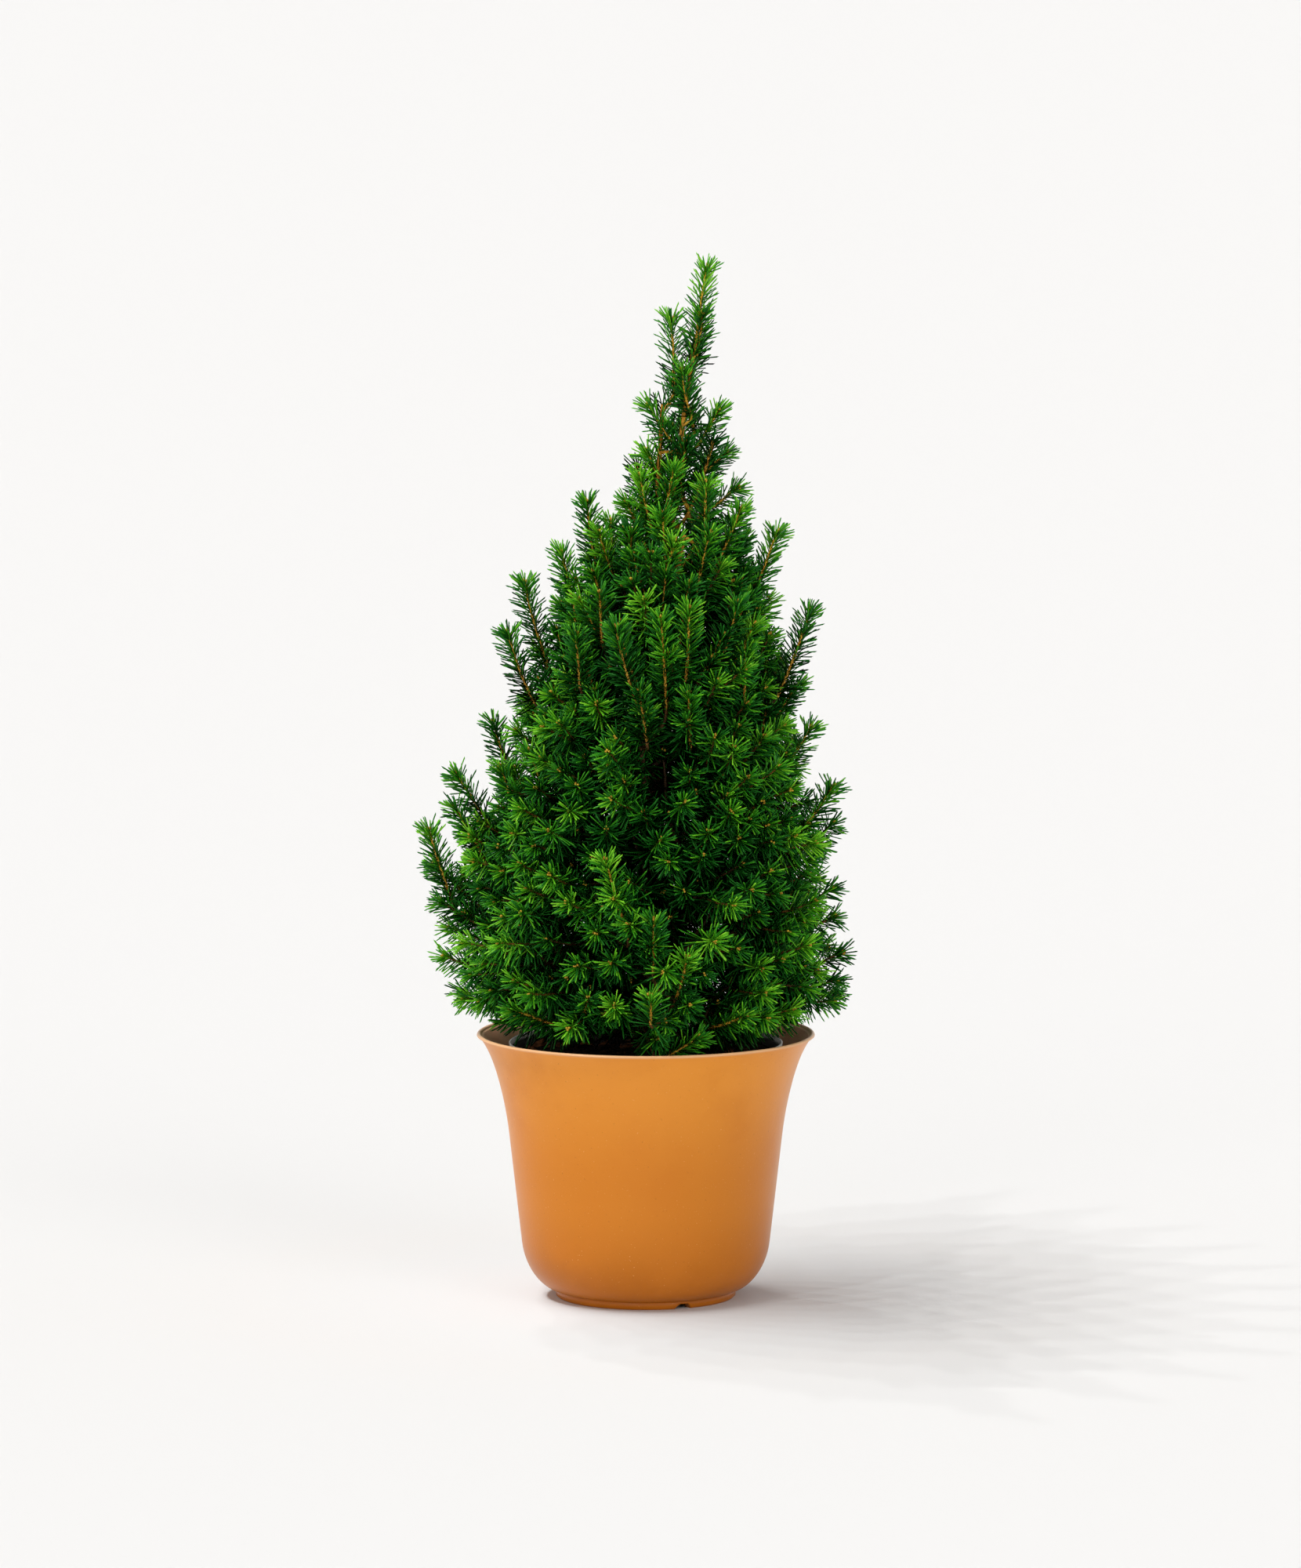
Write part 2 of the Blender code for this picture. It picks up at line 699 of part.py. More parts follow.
def needle(root, direction):
    """Points of a three-sided needle: three round its root and one at its tip."""
    across = direction.orthogonal().normalized()
    over = direction.cross(across)
    points = []
    for corner in range(3):
        angle = 2 * math.pi * corner / 3
        points.append(root + NEEDLE_RADIUS * (math.cos(angle) * across + math.sin(angle) * over))
    points.append(root + direction * NEEDLE_LENGTH)
    return points


NEEDLE_FACES = [(0, 2, 1), (0, 1, 3), (1, 2, 3), (2, 0, 3)]


def needles_on(space, mass, path, count, rng):
    """The needles along a shoot or stem that stay in their mass's space, each as four points."""
    turn = rng.uniform(0, 2 * math.pi)
    kept = []
    for index in range(count):
        place = (len(path) - 1) * (FIRST_NEEDLE + NEEDLE_SPAN * index / (count - 1))
        step = min(int(place), len(path) - 2)
        direction = (path[step + 1] - path[step]).normalized()
        root = path[step].lerp(path[step + 1], place - step)
        across = direction.orthogonal().normalized()
        angle = turn + index * GOLDEN_ANGLE
        outward = math.cos(angle) * across + math.sin(angle) * direction.cross(across)
        along = direction * math.cos(NEEDLE_SWEEP) + outward * math.sin(NEEDLE_SWEEP)
        points = needle(root, along)
        line = [root + along * NEEDLE_LENGTH * share for share in (0, 0.5, 1)]
        if space.holds(mass, points, line, 0.7 * NEEDLE_RADIUS):
            kept.append(points)
    return kept


def add_needles(group, space, mass, path, count, rng):
    """One helper shape that holds the needles of a shoot, each clear of the next."""
    kept = needles_on(space, mass, path, count, rng)
    points = [point for leaf in kept for point in leaf]
    faces = [[4 * n + corner for corner in face] for n in range(len(kept)) for face in NEEDLE_FACES]
    if kept:
        add_to(group, points, faces)


def make_mass(name, mass, space, stem, shoots):
    """One mass: its stem, its core or the needles of a bare stem, and its shoots, fused. Where
    shapes graze one another so closely that the union isn't sound, the needles are dealt again,
    and from the third attempt on the core has no spikes."""
    for attempt in range(MOST_ATTEMPTS):
        rng = random.Random(f"{SEED} {mass} {attempt}")
        body = fused_mass(name, mass, space, stem, shoots, attempt < 2, rng)
        if is_sound(body.data):
            return
        bpy.data.objects.remove(body)
    raise RuntimeError(f"{name} has no sound union")


def fused_mass(name, mass, space, stem, shoots, spiked, rng):
    """One attempt at a mass."""
    group = bpy.data.collections.new(name + "_shapes")
    bpy.context.scene.collection.children.link(group)
    thick = LEADER_RADIUS if len(stem) > 3 else BOUGH_TIP_RADIUS
    radii = np.linspace(thick, STEM_TAPER * thick, len(stem))
    body = add_object(name, *tube_mesh(stem, radii, BOUGH_SIDES), "foliage")
    if len(stem) > 3:
        add_needles(group, space, mass, stem, LEADER_NEEDLES, rng)
    elif space.hearts[mass][2] < CORE_TOP:
        add_to(group, *core_mesh(space, mass, spiked, rng))
    else:
        add_to(group, *whorl_mesh(stem[-1]))
    for twig, axis in shoots:
        add_to(group, *spindle(twig, axis, SPINDLE_SIDES, rng.uniform(0, math.pi), 1))
        add_needles(group, space, mass, axis, NEEDLES, rng)
    fuse(body, group)
    bpy.data.collections.remove(group)
    return body


def is_sound(mesh):
    """Whether a fused mass stays one closed body when its finest slivers are welded shut, and
    never touches itself along an edge."""
    shape = bmesh.new()
    shape.from_mesh(mesh)
    for dist in (TOUCH, SLIVER):
        bmesh.ops.remove_doubles(shape, verts=shape.verts, dist=dist)
        bmesh.ops.dissolve_degenerate(shape, dist=dist, edges=shape.edges)
        if any(len(edge.link_faces) != 2 for edge in shape.edges):
            shape.free()
            return False
    whole = len(shells_of(shape)) == 1
    shape.free()
    return whole


def whorl_mesh(heart):
    """The small knot that the twigs of an open mass leave from."""
    shape = bmesh.new()
    bmesh.ops.create_icosphere(shape, subdivisions=1, radius=WHORL_RADIUS)
    vertices = [heart + v.co for v in shape.verts]
    faces = [tuple(v.index for v in face.verts) for face in shape.faces]
    shape.free()
    return vertices, faces


def core_mesh(space, mass, spiked, rng):
    """A low core about the heart. Each of its points is pushed out along its own ray until it
    meets a wall of the mass's space, the depth that shoots stand out of, or the nearest limb.
    A mass with too little room for one gets the knot of an open mass."""
    heart = Vector(space.hearts[mass])
    shape = bmesh.new()
    bmesh.ops.create_icosphere(shape, subdivisions=2, radius=1)
    reaches = [core_reach(space, mass, heart, v.co) for v in shape.verts]
    if sum(reaches) < CORE_SMALLEST * len(reaches):
        shape.free()
        return whorl_mesh(heart)
    for v, reach in zip(shape.verts, reaches):
        v.co = heart + v.co * max(reach * rng.uniform(1 - CORE_UNEVEN, 1), WHORL_RADIUS)
    shape.normal_update()
    if spiked:
        raise_spikes(shape, space, mass, heart)
    vertices = [v.co.copy() for v in shape.verts]
    faces = [tuple(v.index for v in face.verts) for face in shape.faces]
    shape.free()
    return vertices, faces


def raise_spikes(shape, space, mass, heart):
    """Draws the faces of a core that look away from the trunk out to points, like needle tufts."""
    outward = (heart - spine(heart.z)).normalized()
    for face in list(shape.faces):
        middle = face.calc_center_median()
        tip = middle + (face.normal + Vector((0, 0, SPIKE_LIFT))).normalized() * SPIKE_HEIGHT
        reach = (tip - spine(tip.z)).length
        if face.normal.dot(outward) < SPIKE_FACING or reach > crown_radius(tip.z):
            continue
        if space.room(mass, [tip]) > CLEARANCE and space.off_limbs([middle, tip]) > SPIKE_CLEARANCE:
            bmesh.ops.poke(shape, faces=[face])["verts"][0].co = tip
    shape.verts.index_update()


def core_reach(space, mass, heart, ray):
    """How far one ray of a core may reach."""
    reach = min(CORE_LARGEST, space.limb_reach(heart, ray))
    while reach > WHORL_RADIUS:
        point = heart + ray * reach
        share = float(np.interp(point.z, *zip(*CORE_SHARE)))
        depth = (point - spine(point.z)).length
        if space.room(mass, [point]) > CLEARANCE and depth < share * crown_radius(point.z):
            break
        reach -= CORE_STEP
    return max(reach, WHORL_RADIUS)


def add_to(group, vertices, faces):
    """A helper shape for a union, moved out of the scene's own list into its group."""
    made = add_object("shape", vertices, faces, "foliage")
    bpy.context.scene.collection.objects.unlink(made)
    group.objects.link(made)


def fuse(body, group):
    """Joins a body and everything in its group, then removes the group's shapes."""
    union = body.modifiers.new("fuse", "BOOLEAN")
    union.operation = "UNION"
    union.operand_type = "COLLECTION"
    union.solver = "MANIFOLD"
    union.collection = group
    apply_modifier(body, union)
    for item in list(group.objects):
        bpy.data.objects.remove(item)
    keep_outer_shell(body.data)


def shells_of(shape):
    """The faces of a mesh as lists, one for each connected shell, the largest last."""
    left = set(shape.faces)
    shells = []
    while left:
        shell, waiting = [], [left.pop()]
        while waiting:
            face = waiting.pop()
            shell.append(face)
            for edge in face.edges:
                for other in edge.link_faces:
                    if other in left:
                        left.remove(other)
                        waiting.append(other)
        shells.append(shell)
    return sorted(shells, key=len)


def keep_outer_shell(mesh):
    """Keeps the largest connected shell: it drops scraps, and fills any sealed hollow."""
    shape = bmesh.new()
    shape.from_mesh(mesh)
    bmesh.ops.triangulate(shape, faces=shape.faces)
    for shell in shells_of(shape)[:-1]:
        bmesh.ops.delete(shape, geom=shell, context="FACES")
    shape.to_mesh(mesh)
    shape.free()


def make_crown():
    limbs = grow_limbs()
    trunk = [spine(z) for z in np.linspace(SOIL_TOP + GAP, TRUNK_TIP, TRUNK_SAMPLES)]
    solid = [(trunk, TRUNK_RADIUS, TRUNK_TIP_RADIUS)]
    make_trunk()
    stems = []
    for number, grown in enumerate(limbs, 1):
        path, stem = split_limb(grown)
        make_bough(f"bough_{number:02d}", path, grown["thickness"])
        solid.append((path, grown["thickness"], BOUGH_TIP_RADIUS))
        stems.append(stem)
    path, stem, thickness = second_leader()
    make_bough(f"bough_{len(limbs) + 1:02d}", path, thickness)
    solid.append((path, thickness, BOUGH_TIP_RADIUS))
    stems += [stem, main_leader()]
    space = Space(stems, solid)
    rng = random.Random(SEED)
    shoots = [[] for _ in stems]
    for tip, direction, length in grow_shoots(rng):
        settled = settle(space, tip, direction, length)
        if settled:
            mass, shoot = settled
            shoots[mass].append(shoot)
    for mass, stem in enumerate(stems):
        make_mass(f"foliage_{mass + 1:02d}", mass, space, stem, shoots[mass])


clear_scene()
make_pot()
make_liner()
make_soil()
make_crown()
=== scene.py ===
# %% [markdown]
# # A dwarf Alberta spruce in its pot
#
# The solids of this plant are plain: a pot, a trunk, boughs, and one lump of foliage for each
# bough. This lesson dresses them. It turns a finer pot, scatters bark chips on the soil, gives
# the wood its relief, and grows twigs, needles and buds on from the boughs by the same rule
# that placed the lumps. Everything is in metres, with +Z up and the ground at zero.

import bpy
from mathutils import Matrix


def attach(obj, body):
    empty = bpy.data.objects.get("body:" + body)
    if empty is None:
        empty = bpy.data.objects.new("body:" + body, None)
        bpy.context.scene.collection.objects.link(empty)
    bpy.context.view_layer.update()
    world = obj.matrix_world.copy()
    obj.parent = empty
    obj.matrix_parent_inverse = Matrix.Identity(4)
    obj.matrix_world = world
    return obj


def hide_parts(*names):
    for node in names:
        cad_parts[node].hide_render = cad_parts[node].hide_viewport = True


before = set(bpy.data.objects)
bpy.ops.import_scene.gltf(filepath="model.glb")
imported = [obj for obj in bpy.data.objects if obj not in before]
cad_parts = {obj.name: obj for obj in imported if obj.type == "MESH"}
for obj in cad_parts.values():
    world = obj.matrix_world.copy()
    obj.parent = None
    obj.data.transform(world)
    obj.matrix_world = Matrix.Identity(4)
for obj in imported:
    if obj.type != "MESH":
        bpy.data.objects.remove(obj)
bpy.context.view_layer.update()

# %% Blender's own modules
import math
import random

import bmesh
import bpy
import numpy as np
from mathutils import Vector, noise

# %% [markdown]
# ## Writing node trees as sums
#
# Materials and growing rules are both node trees. Adding their nodes by hand takes many lines,
# so a `Wire` stands for one output socket, and a sum or product of wires adds the Math node
# itself. Every other kind of node comes from `Graph.add`, which takes the node's type, the
# values or wires of its sockets, and its settings by name. The settings are made first,
# because some of them change which sockets a node has.


# %% Wires and graphs
class Wire:
    """One output socket. Arithmetic on wires adds Math nodes."""

    def __init__(self, graph, socket):
        self.graph, self.socket = graph, socket

    def out(self, name):
        """Another output of the same node."""
        return Wire(self.graph, self.socket.node.outputs[name])

    def math(self, operation, first, second):
        return self.graph.add("ShaderNodeMath", {0: first, 1: second}, operation=operation)

    def __add__(self, other):
        return self.math("ADD", self, other)

    def __sub__(self, other):
        return self.math("SUBTRACT", self, other)

    def __rsub__(self, other):
        return self.math("SUBTRACT", other, self)

    def __mul__(self, other):
        return self.math("MULTIPLY", self, other)

    def __abs__(self):
        return self.math("ABSOLUTE", self, 0.0)

    def __gt__(self, other):
        return self.math("GREATER_THAN", self, other)

    def __lt__(self, other):
        return self.math("LESS_THAN", self, other)

    __radd__ = __add__
    __rmul__ = __mul__


class Graph:
    """A node tree that is being written."""

    def __init__(self, tree):
        self.tree = tree

    def add(self, kind, inputs=None, out=0, **settings):
        node = self.tree.nodes.new(kind)
        for name, value in settings.items():
            setattr(node, name, value)
        for key, value in (inputs or {}).items():
            if isinstance(value, Wire):
                self.tree.links.new(value.socket, node.inputs[key])
            else:
                node.inputs[key].default_value = value
        return Wire(self, node.outputs[out])


# %% [markdown]
# ## The plant's growing rule
#
# A spruce of this kind is a cone of boughs wound up one trunk. Each bough leaves the trunk a
# golden angle (137.5 degrees) after the one below, which is how real shoots avoid shading each
# other, and it ends in a mass of foliage with a heart. The numbers here are the plant's own:
# the line of its trunk, which leans right near the top, and the crown's radius at each height.

# %% The plant's sizes
SOIL_TOP = 0.1222
TRUNK_RADIUS = 0.0066
TRUNK_FLARE = 0.0042
TRUNK_FLARE_HEIGHT = 0.010
TRUNK_TIP_RADIUS = 0.0021
SLIMMEST = 0.0010
TRUNK_TIP = 0.398
CROWN_TOP = 0.511
LEAN = 0.0306
LEAN_POWER = 2.2
CROWN_PROFILE = (
    (0.132, 0.074), (0.150, 0.088), (0.172, 0.094), (0.226, 0.091), (0.258, 0.082),
    (0.300, 0.069), (0.345, 0.059), (0.375, 0.047), (0.400, 0.032), (0.430, 0.018),
    (0.485, 0.009),
)
GOLDEN_ANGLE = math.radians(137.508)
SEED = 11


def spine(height):
    """The trunk's middle line at a height."""
    share = max(0.0, (height - SOIL_TOP) / (CROWN_TOP - SOIL_TOP))
    return Vector((LEAN * share**LEAN_POWER, 0, height))


def trunk_radius(height):
    above = height - SOIL_TOP
    share = above / (TRUNK_TIP - SOIL_TOP)
    taper = TRUNK_RADIUS + (TRUNK_TIP_RADIUS - TRUNK_RADIUS) * share
    return max(SLIMMEST, taper + TRUNK_FLARE * math.exp(-above / TRUNK_FLARE_HEIGHT))


def read_off(table, height):
    """Reads a value off a table of (height, value) pairs, evenly between its rows."""
    return float(np.interp(height, *zip(*table)))


def crown_radius(height):
    return read_off(CROWN_PROFILE, height)


def even_heights(count, bottom, top, steps=400):
    """Heights that share the crown's surface evenly between them."""
    fine = np.linspace(bottom, top, steps)
    area = np.cumsum([crown_radius(z) for z in fine])
    return [float(np.interp((n + 0.5) / count, area / area[-1], fine)) for n in range(count)]


def around(azimuth):
    return Vector((math.cos(azimuth), math.sin(azimuth), 0))


def curve_points(start, bend, end, steps):
    """Points of a quadratic Bezier curve."""
    shares = [step / steps for step in range(steps + 1)]
    return [(1 - t) ** 2 * start + 2 * t * (1 - t) * bend + t**2 * end for t in shares]


print("crown radius at 0.2 m:", crown_radius(0.2))

# %% [markdown]
# ## Boughs and hearts
#
# A bough is a curve from inside the trunk to the heart of its mass. Low boughs spread and high
# ones climb. Near the top, two sprigs stand beside the trunk, each given by its compass angle,
# the height of its foot, the reach and height of its heart, and how far it bends out and up. A
# second leader forks off and rises beside the main one.

# %% Grow the boughs
BOUGHS = 24
BOUGH_HEIGHTS = (0.140, 0.384)
BOUGH_RADIUS = 0.0026
BOUGH_SHARE = 0.62
BOUGH_STEPS = 16
BOUGH_ARCH = 0.6
LOWEST_FOOT = 0.012
FOOT_STEP = 0.0012
FOOT_DEPTH = 0.5
HEART_REACH = 0.60
BOUGH_RISE = ((0.15, 0.006), (0.20, 0.022), (0.30, 0.036), (0.40, 0.034))
SPRIGS = (
    (-35, 0.376, 0.0190, 0.420, 0.0120, 0.004),
    (150, 0.358, 0.0220, 0.406, 0.0130, 0.010),
)
FORK_FOOT = 0.366
FORK_BEND = 0.005
SECOND_LEAN = 0.42
SECOND_STEM = (0.392, 0.405, 0.420, 0.437)
MAIN_STEM = (0.398, 0.412, 0.437, 0.462)


def grow_boughs():
    """Each bough as its path and its radius at the foot. The path ends at the mass's heart."""
    boughs = []
    for index, height in enumerate(even_heights(BOUGHS, *BOUGH_HEIGHTS)):
        out = around(index * GOLDEN_ANGLE)
        reach = HEART_REACH * crown_radius(height)
        lowest = SOIL_TOP + LOWEST_FOOT + FOOT_STEP * index
        foot_height = max(height - read_off(BOUGH_RISE, height), lowest)
        boughs.append((foot_height, out, spine(height) + out * reach, BOUGH_ARCH * reach, 0))
    for degrees, foot_height, reach, heart_height, bend_out, bend_up in SPRIGS:
        out = around(math.radians(degrees))
        heart = spine(heart_height) + out * reach
        boughs.append((foot_height, out, heart, bend_out, bend_up))
    fork = Vector((SECOND_LEAN * spine(SECOND_STEM[0]).x, 0, SECOND_STEM[0]))
    boughs.append((FORK_FOOT, around(math.pi), fork, FORK_BEND, FORK_BEND))
    grown = []
    for foot_height, out, heart, bend_out, bend_up in boughs:
        foot = spine(foot_height) + out * FOOT_DEPTH * trunk_radius(foot_height)
        bend = foot + out * bend_out + Vector((0, 0, bend_up))
        radius = min(BOUGH_RADIUS, BOUGH_SHARE * trunk_radius(foot_height))
        grown.append((curve_points(foot, bend, heart, BOUGH_STEPS), radius))
    return grown


boughs = grow_boughs()
second_stem = [Vector((SECOND_LEAN * spine(z).x, 0, z)) for z in SECOND_STEM]
main_stem = [spine(z) for z in MAIN_STEM]
hearts = [path[-1] for path, _ in boughs[:-1]] + [second_stem[3], main_stem[2]]
print(len(boughs), "boughs and", len(hearts), "hearts")

# %% [markdown]
# ## Shoots
#
# A shoot is one year's growth: the nearly straight end of a twig, one to five centimetres long
# and thick with needles. The ones that break the crown's outline or stand in front are placed
# one by one, each by its compass angle, how far from the trunk and how high its needles end,
# its lean from upright and its length, with angles in degrees and lengths in millimetres. All
# the others fill the crown's surface by the golden angle, and two layers behind them, sparser
# and darker, keep the sky from showing through.

# %% The shoots that stand out
STANDOUTS = (
    (0, 0, 510, 8, 42), (-70, 6, 487, 20, 26), (180, 14.2, 485, 2, 34), (182, 22, 442, 34, 24),
    (176, 20, 420, 30, 28), (186, 26, 396, 22, 30), (-8, 19, 440, 32, 26), (6, 27, 418, 48, 26),
    (-10, 35, 401, 50, 26), (180, 44, 396, 10, 44), (186, 54, 371.5, 10, 36),
    (176, 71, 356, 14, 40), (188, 78, 333, 16, 36), (174, 82, 287, 18, 40), (184, 99, 263, 30, 38),
    (178, 110, 235, 18, 40), (182, 104.5, 169, 76, 34), (5, 54, 381, 22, 50), (-4, 73, 343, 18, 44),
    (4, 72, 306, 34, 40), (-5, 79, 286, 28, 34), (3, 94, 236, 50, 34), (-3, 101.5, 172, 70, 34),
    (-92, 56, 344, 8, 44), (-112, 66, 340, 8, 40), (-106, 83, 230, 10, 40), (90, 58, 350, 12, 42),
    (62, 74, 312, 20, 38), (118, 88, 248, 24, 38), (181, 62, 297, 12, 34), (183, 70, 266, 22, 34),
    (177, 109, 216, 44, 34), (4, 96, 203, 62, 34), (-6, 92.5, 257, 34, 34), (2, 99, 150, 84, 32),
    (4, 98, 188, 70, 32), (-4, 99, 158, 80, 30), (179, 97, 150, 86, 32), (120, 14, 452, 22, 24),
    (-120, 12, 460, 20, 24), (-88, 85, 202, 10, 26), (-89, 89, 166, 14, 14), (-76, 86, 183, 26, 24),
    (-58, 37, 383, 12, 34), (-75, 45, 360, 8, 32), (-32, 41, 394, 18, 46), (-45, 52, 350, 4, 30),
    (-150, 50, 350, 16, 30), (-125, 34, 372, 26, 28), (-102, 30, 392, 16, 30),
    (-100, 62, 310, 8, 26), (187, 99, 248, 24, 36), (172, 88, 221, 30, 36), (184, 95, 147, 93, 30),
    (-3, 97.5, 146, 93, 30), (184, 106.5, 199, 58, 34), (181, 102, 184, 72, 30),
    (-168, 78, 268, 16, 36),
)
BRUSH = 0.007
UPRIGHT_BELOW = 45
STANDOUT_TURN = 0.3
SPLAY = 9.0


def pointing(azimuth, lean):
    return around(azimuth) * math.sin(lean) + Vector((0, 0, math.cos(lean)))


def shoot_to(point, aim, length, depth, upright):
    """A shoot whose needles end at a point. Its wood ends a little before it."""
    tip = point - aim * BRUSH
    base = tip - aim * length
    return {"tip": tip, "base": base, "aim": aim, "depth": depth, "upright": upright}


def place_standouts(rng):
    """The placed shoots. Those in front and behind splay towards their own side."""
    shoots = []
    for degrees, reach, height, lean, length in STANDOUTS:
        azimuth = math.radians(degrees)
        reach, height, length = reach / 1000, height / 1000, length / 1000
        point = spine(height) + around(azimuth) * reach
        splay = SPLAY * math.cos(azimuth) * reach * abs(math.sin(azimuth))
        turn = rng.uniform(-STANDOUT_TURN, STANDOUT_TURN)
        aim = pointing(azimuth + turn, math.radians(lean)) + Vector((splay, 0, 0))
        shoots.append(shoot_to(point, aim.normalized(), length, 0.0, lean < UPRIGHT_BELOW))
    return shoots


rng = random.Random(SEED)
shoots = place_standouts(rng)
print(len(shoots), "shoots placed one by one")

# %% [markdown]
# The rule that fills the rest has two kinds of shoot, and their lean changes with height. Near
# the top more of them stand upright. A new shoot is dropped where an older one is too close,
# and in a few small hollows that let shade into the crown, each a point and a radius in
# millimetres.

# %% The shoots that fill the crown
UPRIGHT = {
    "lean": ((0.140, 70), (0.200, 40), (0.260, 26), (0.320, 20), (0.400, 14)),
    "stray": 0.9, "stretch": 1.12,
}
SIDEWAYS = {
    "lean": ((0.140, 92), (0.180, 84), (0.240, 72), (0.290, 56), (0.330, 36), (0.400, 18)),
    "stray": 0.35, "stretch": 1.0,
}
UPRIGHT_SHARE = ((0.285, 0.13), (0.325, 0.55))
FILLED_HEIGHTS = (0.137, 0.470)
TURN_JITTER = 0.12
LEAN_JITTER = 14
LENGTHS = (0.70, 1.20)
PROUD_REACH = 0.09
PROUD_LIFT = 0.35
SPREAD = 0.006
BULGE = 0.010
BULGE_HEIGHT = 0.205
BULGE_SPREAD = 0.040
SPIRE_HEIGHT = 0.385
SPIRE_ROOM = 1.4
HOLLOWS = (
    (10, -68, 277, 15), (31, -82, 199, 14), (28, -80, 247, 10), (-66, -58, 172, 11),
    (-42, -75, 157, 10), (62, -68, 215, 9), (57, -72, 163, 9), (2, -60, 311, 11),
    (21, -55, 335, 10), (-13, -90, 177, 8), (-20, -70, 290, 7),
)
# Each layer's depth darkens its needles' tone further on, as painted shade.
LAYERS = (
    {"count": 620, "reach": (0.85, 1.03), "apart": 0.0108, "depth": 0.0, "length": 0.027},
    {"count": 300, "reach": (0.64, 0.82), "apart": 0.0125, "depth": 1.0, "length": 0.026},
    {"count": 150, "reach": (0.35, 0.58), "apart": 0.0150, "depth": 2.0, "length": 0.024},
)


def bulge(azimuth, height):
    """The crown swells on its left side, a little below the middle."""
    side = max(0.0, -math.cos(azimuth)) ** 3
    return BULGE * side * math.exp(-(((height - BULGE_HEIGHT) / BULGE_SPREAD) ** 2))


def fill_layer(layer, shoots, rng):
    for index, height in enumerate(even_heights(layer["count"], *FILLED_HEIGHTS)):
        azimuth = index * GOLDEN_ANGLE + rng.uniform(-TURN_JITTER, TURN_JITTER)
        upright = rng.random() < read_off(UPRIGHT_SHARE, height)
        kind = UPRIGHT if upright else SIDEWAYS
        lean = math.radians(read_off(kind["lean"], height) + rng.uniform(-LEAN_JITTER, LEAN_JITTER))
        aim = pointing(azimuth + rng.uniform(-1.0, 1.0) * kind["stray"], lean)
        length = layer["length"] * rng.uniform(*LENGTHS) * kind["stretch"]
        share = rng.uniform(*layer["reach"])
        proud = (share - sum(layer["reach"]) / 2) / PROUD_REACH
        reach = share * (crown_radius(height) + bulge(azimuth, height))
        point = spine(height) + around(azimuth) * (reach - SPREAD * math.cos(lean))
        # Painted light: a shoot standing proud of its layer counts as less deep, so its tone is
        # lighter.
        shoot = shoot_to(point, aim, length, layer["depth"] - PROUD_LIFT * proud, upright)
        apart = layer["apart"] * (1.0 if height < SPIRE_HEIGHT else SPIRE_ROOM)
        crowded = min((shoot["tip"] - other["tip"]).length for other in shoots) < apart
        hollow = any((point - Vector(place)).length < radius for place, radius in hollows)
        if not crowded and not hollow:
            shoots.append(shoot)


hollows = [([x / 1000, y / 1000, z / 1000], radius / 1000) for x, y, z, radius in HOLLOWS]
for layer in LAYERS:
    fill_layer(layer, shoots, rng)
print(len(shoots), "shoots")

# %% [markdown]
# ## Knitting the shoots to their boughs
#
# Each shoot belongs to the mass whose heart lies nearest, with heights counted for less than
# widths. From the heart outwards, every shoot then joins a twig that is already there, as
# next year's shoots leave this year's. It takes the knot that costs least: near, in line with
# the shoot, and not far from the heart. That gives branching twigs from a rule of a few lines.

# %% Knit the twigs
HEIGHT_WEIGHT = 0.55
LOWEST_BEND = 0.140
SPRIG_HEIGHT = 0.38
BARE_KNOTS = 6
STEM_KNOTS = 5
TURN_COST = 1.1
RUN_COST = 0.25
TWIG_BEND = 0.45
TWIG_STEPS = 5
INTO_MASS = 0.012


def mass_of(point):
    apart = [(heart - point) * Vector((1, 1, HEIGHT_WEIGHT)) for heart in hearts]
    return min(range(len(hearts)), key=lambda n: apart[n].length)


def between(a, b, steps):
    return [a.lerp(b, step / steps) for step in range(steps)]


def knit(mass, members):
    """Twigs of one mass, each as its points, its start's distance from the heart, its shoot."""
    stems = {len(hearts) - 2: second_stem, len(hearts) - 1: main_stem}
    stem = stems.get(mass)
    knots = [(hearts[mass], 0.0)]
    if hearts[mass].z > SPRIG_HEIGHT and not stem:
        knots += [(point, 0.0) for point in boughs[mass][0][BARE_KNOTS:]]
    if stem:
        knots = [(p, 0.0) for a, b in zip(stem, stem[1:]) for p in between(a, b, STEM_KNOTS)]
    twigs = []
    for shoot in sorted(members, key=lambda s: min((s["base"] - k).length for k, _ in knots)):
        base, aim = shoot["base"], shoot["aim"]

        def cost(knot):
            way = base - knot[0]
            turn = 1 - way.normalized().dot(aim) if way.length > 1e-6 else 0
            return way.length * (1 + TURN_COST * turn) + RUN_COST * knot[1]

        place, run = min(knots, key=cost)
        bend = base - aim * TWIG_BEND * (base - place).length
        bend.z = max(bend.z, LOWEST_BEND)
        line = curve_points(place, bend, base, TWIG_STEPS)
        twigs.append((line, run, shoot))
        for a, b in zip(line, line[1:]):
            run += (b - a).length
            knots.append((b, run))
    return twigs


members = [[] for _ in hearts]
for shoot in shoots:
    members[mass_of(shoot["tip"] - shoot["aim"] * INTO_MASS)].append(shoot)
twigs = [twig for mass, own in enumerate(members) for twig in knit(mass, own)]
print(len(twigs), "twigs; masses hold", [len(own) for own in members], "shoots")

# %% [markdown]
# ## Guide lines
#
# Geometry Nodes will cover the twigs with wood and needles, so each twig is handed over as a
# bare line of mesh edges. Its points carry named attributes. Wood has its girth and how much
# light falls on it, from 0 to 1. Needles have their spacing, length, lean, scatter of lean and
# thickness, and their tone, from 0 for deep shade to 7 for fresh growth.


# %% Lines with named attributes
def new_object(name, data):
    """An object for a mesh, a lamp or a lens, in the scene."""
    made = bpy.data.objects.new(name, data)
    bpy.context.scene.collection.objects.link(made)
    return made


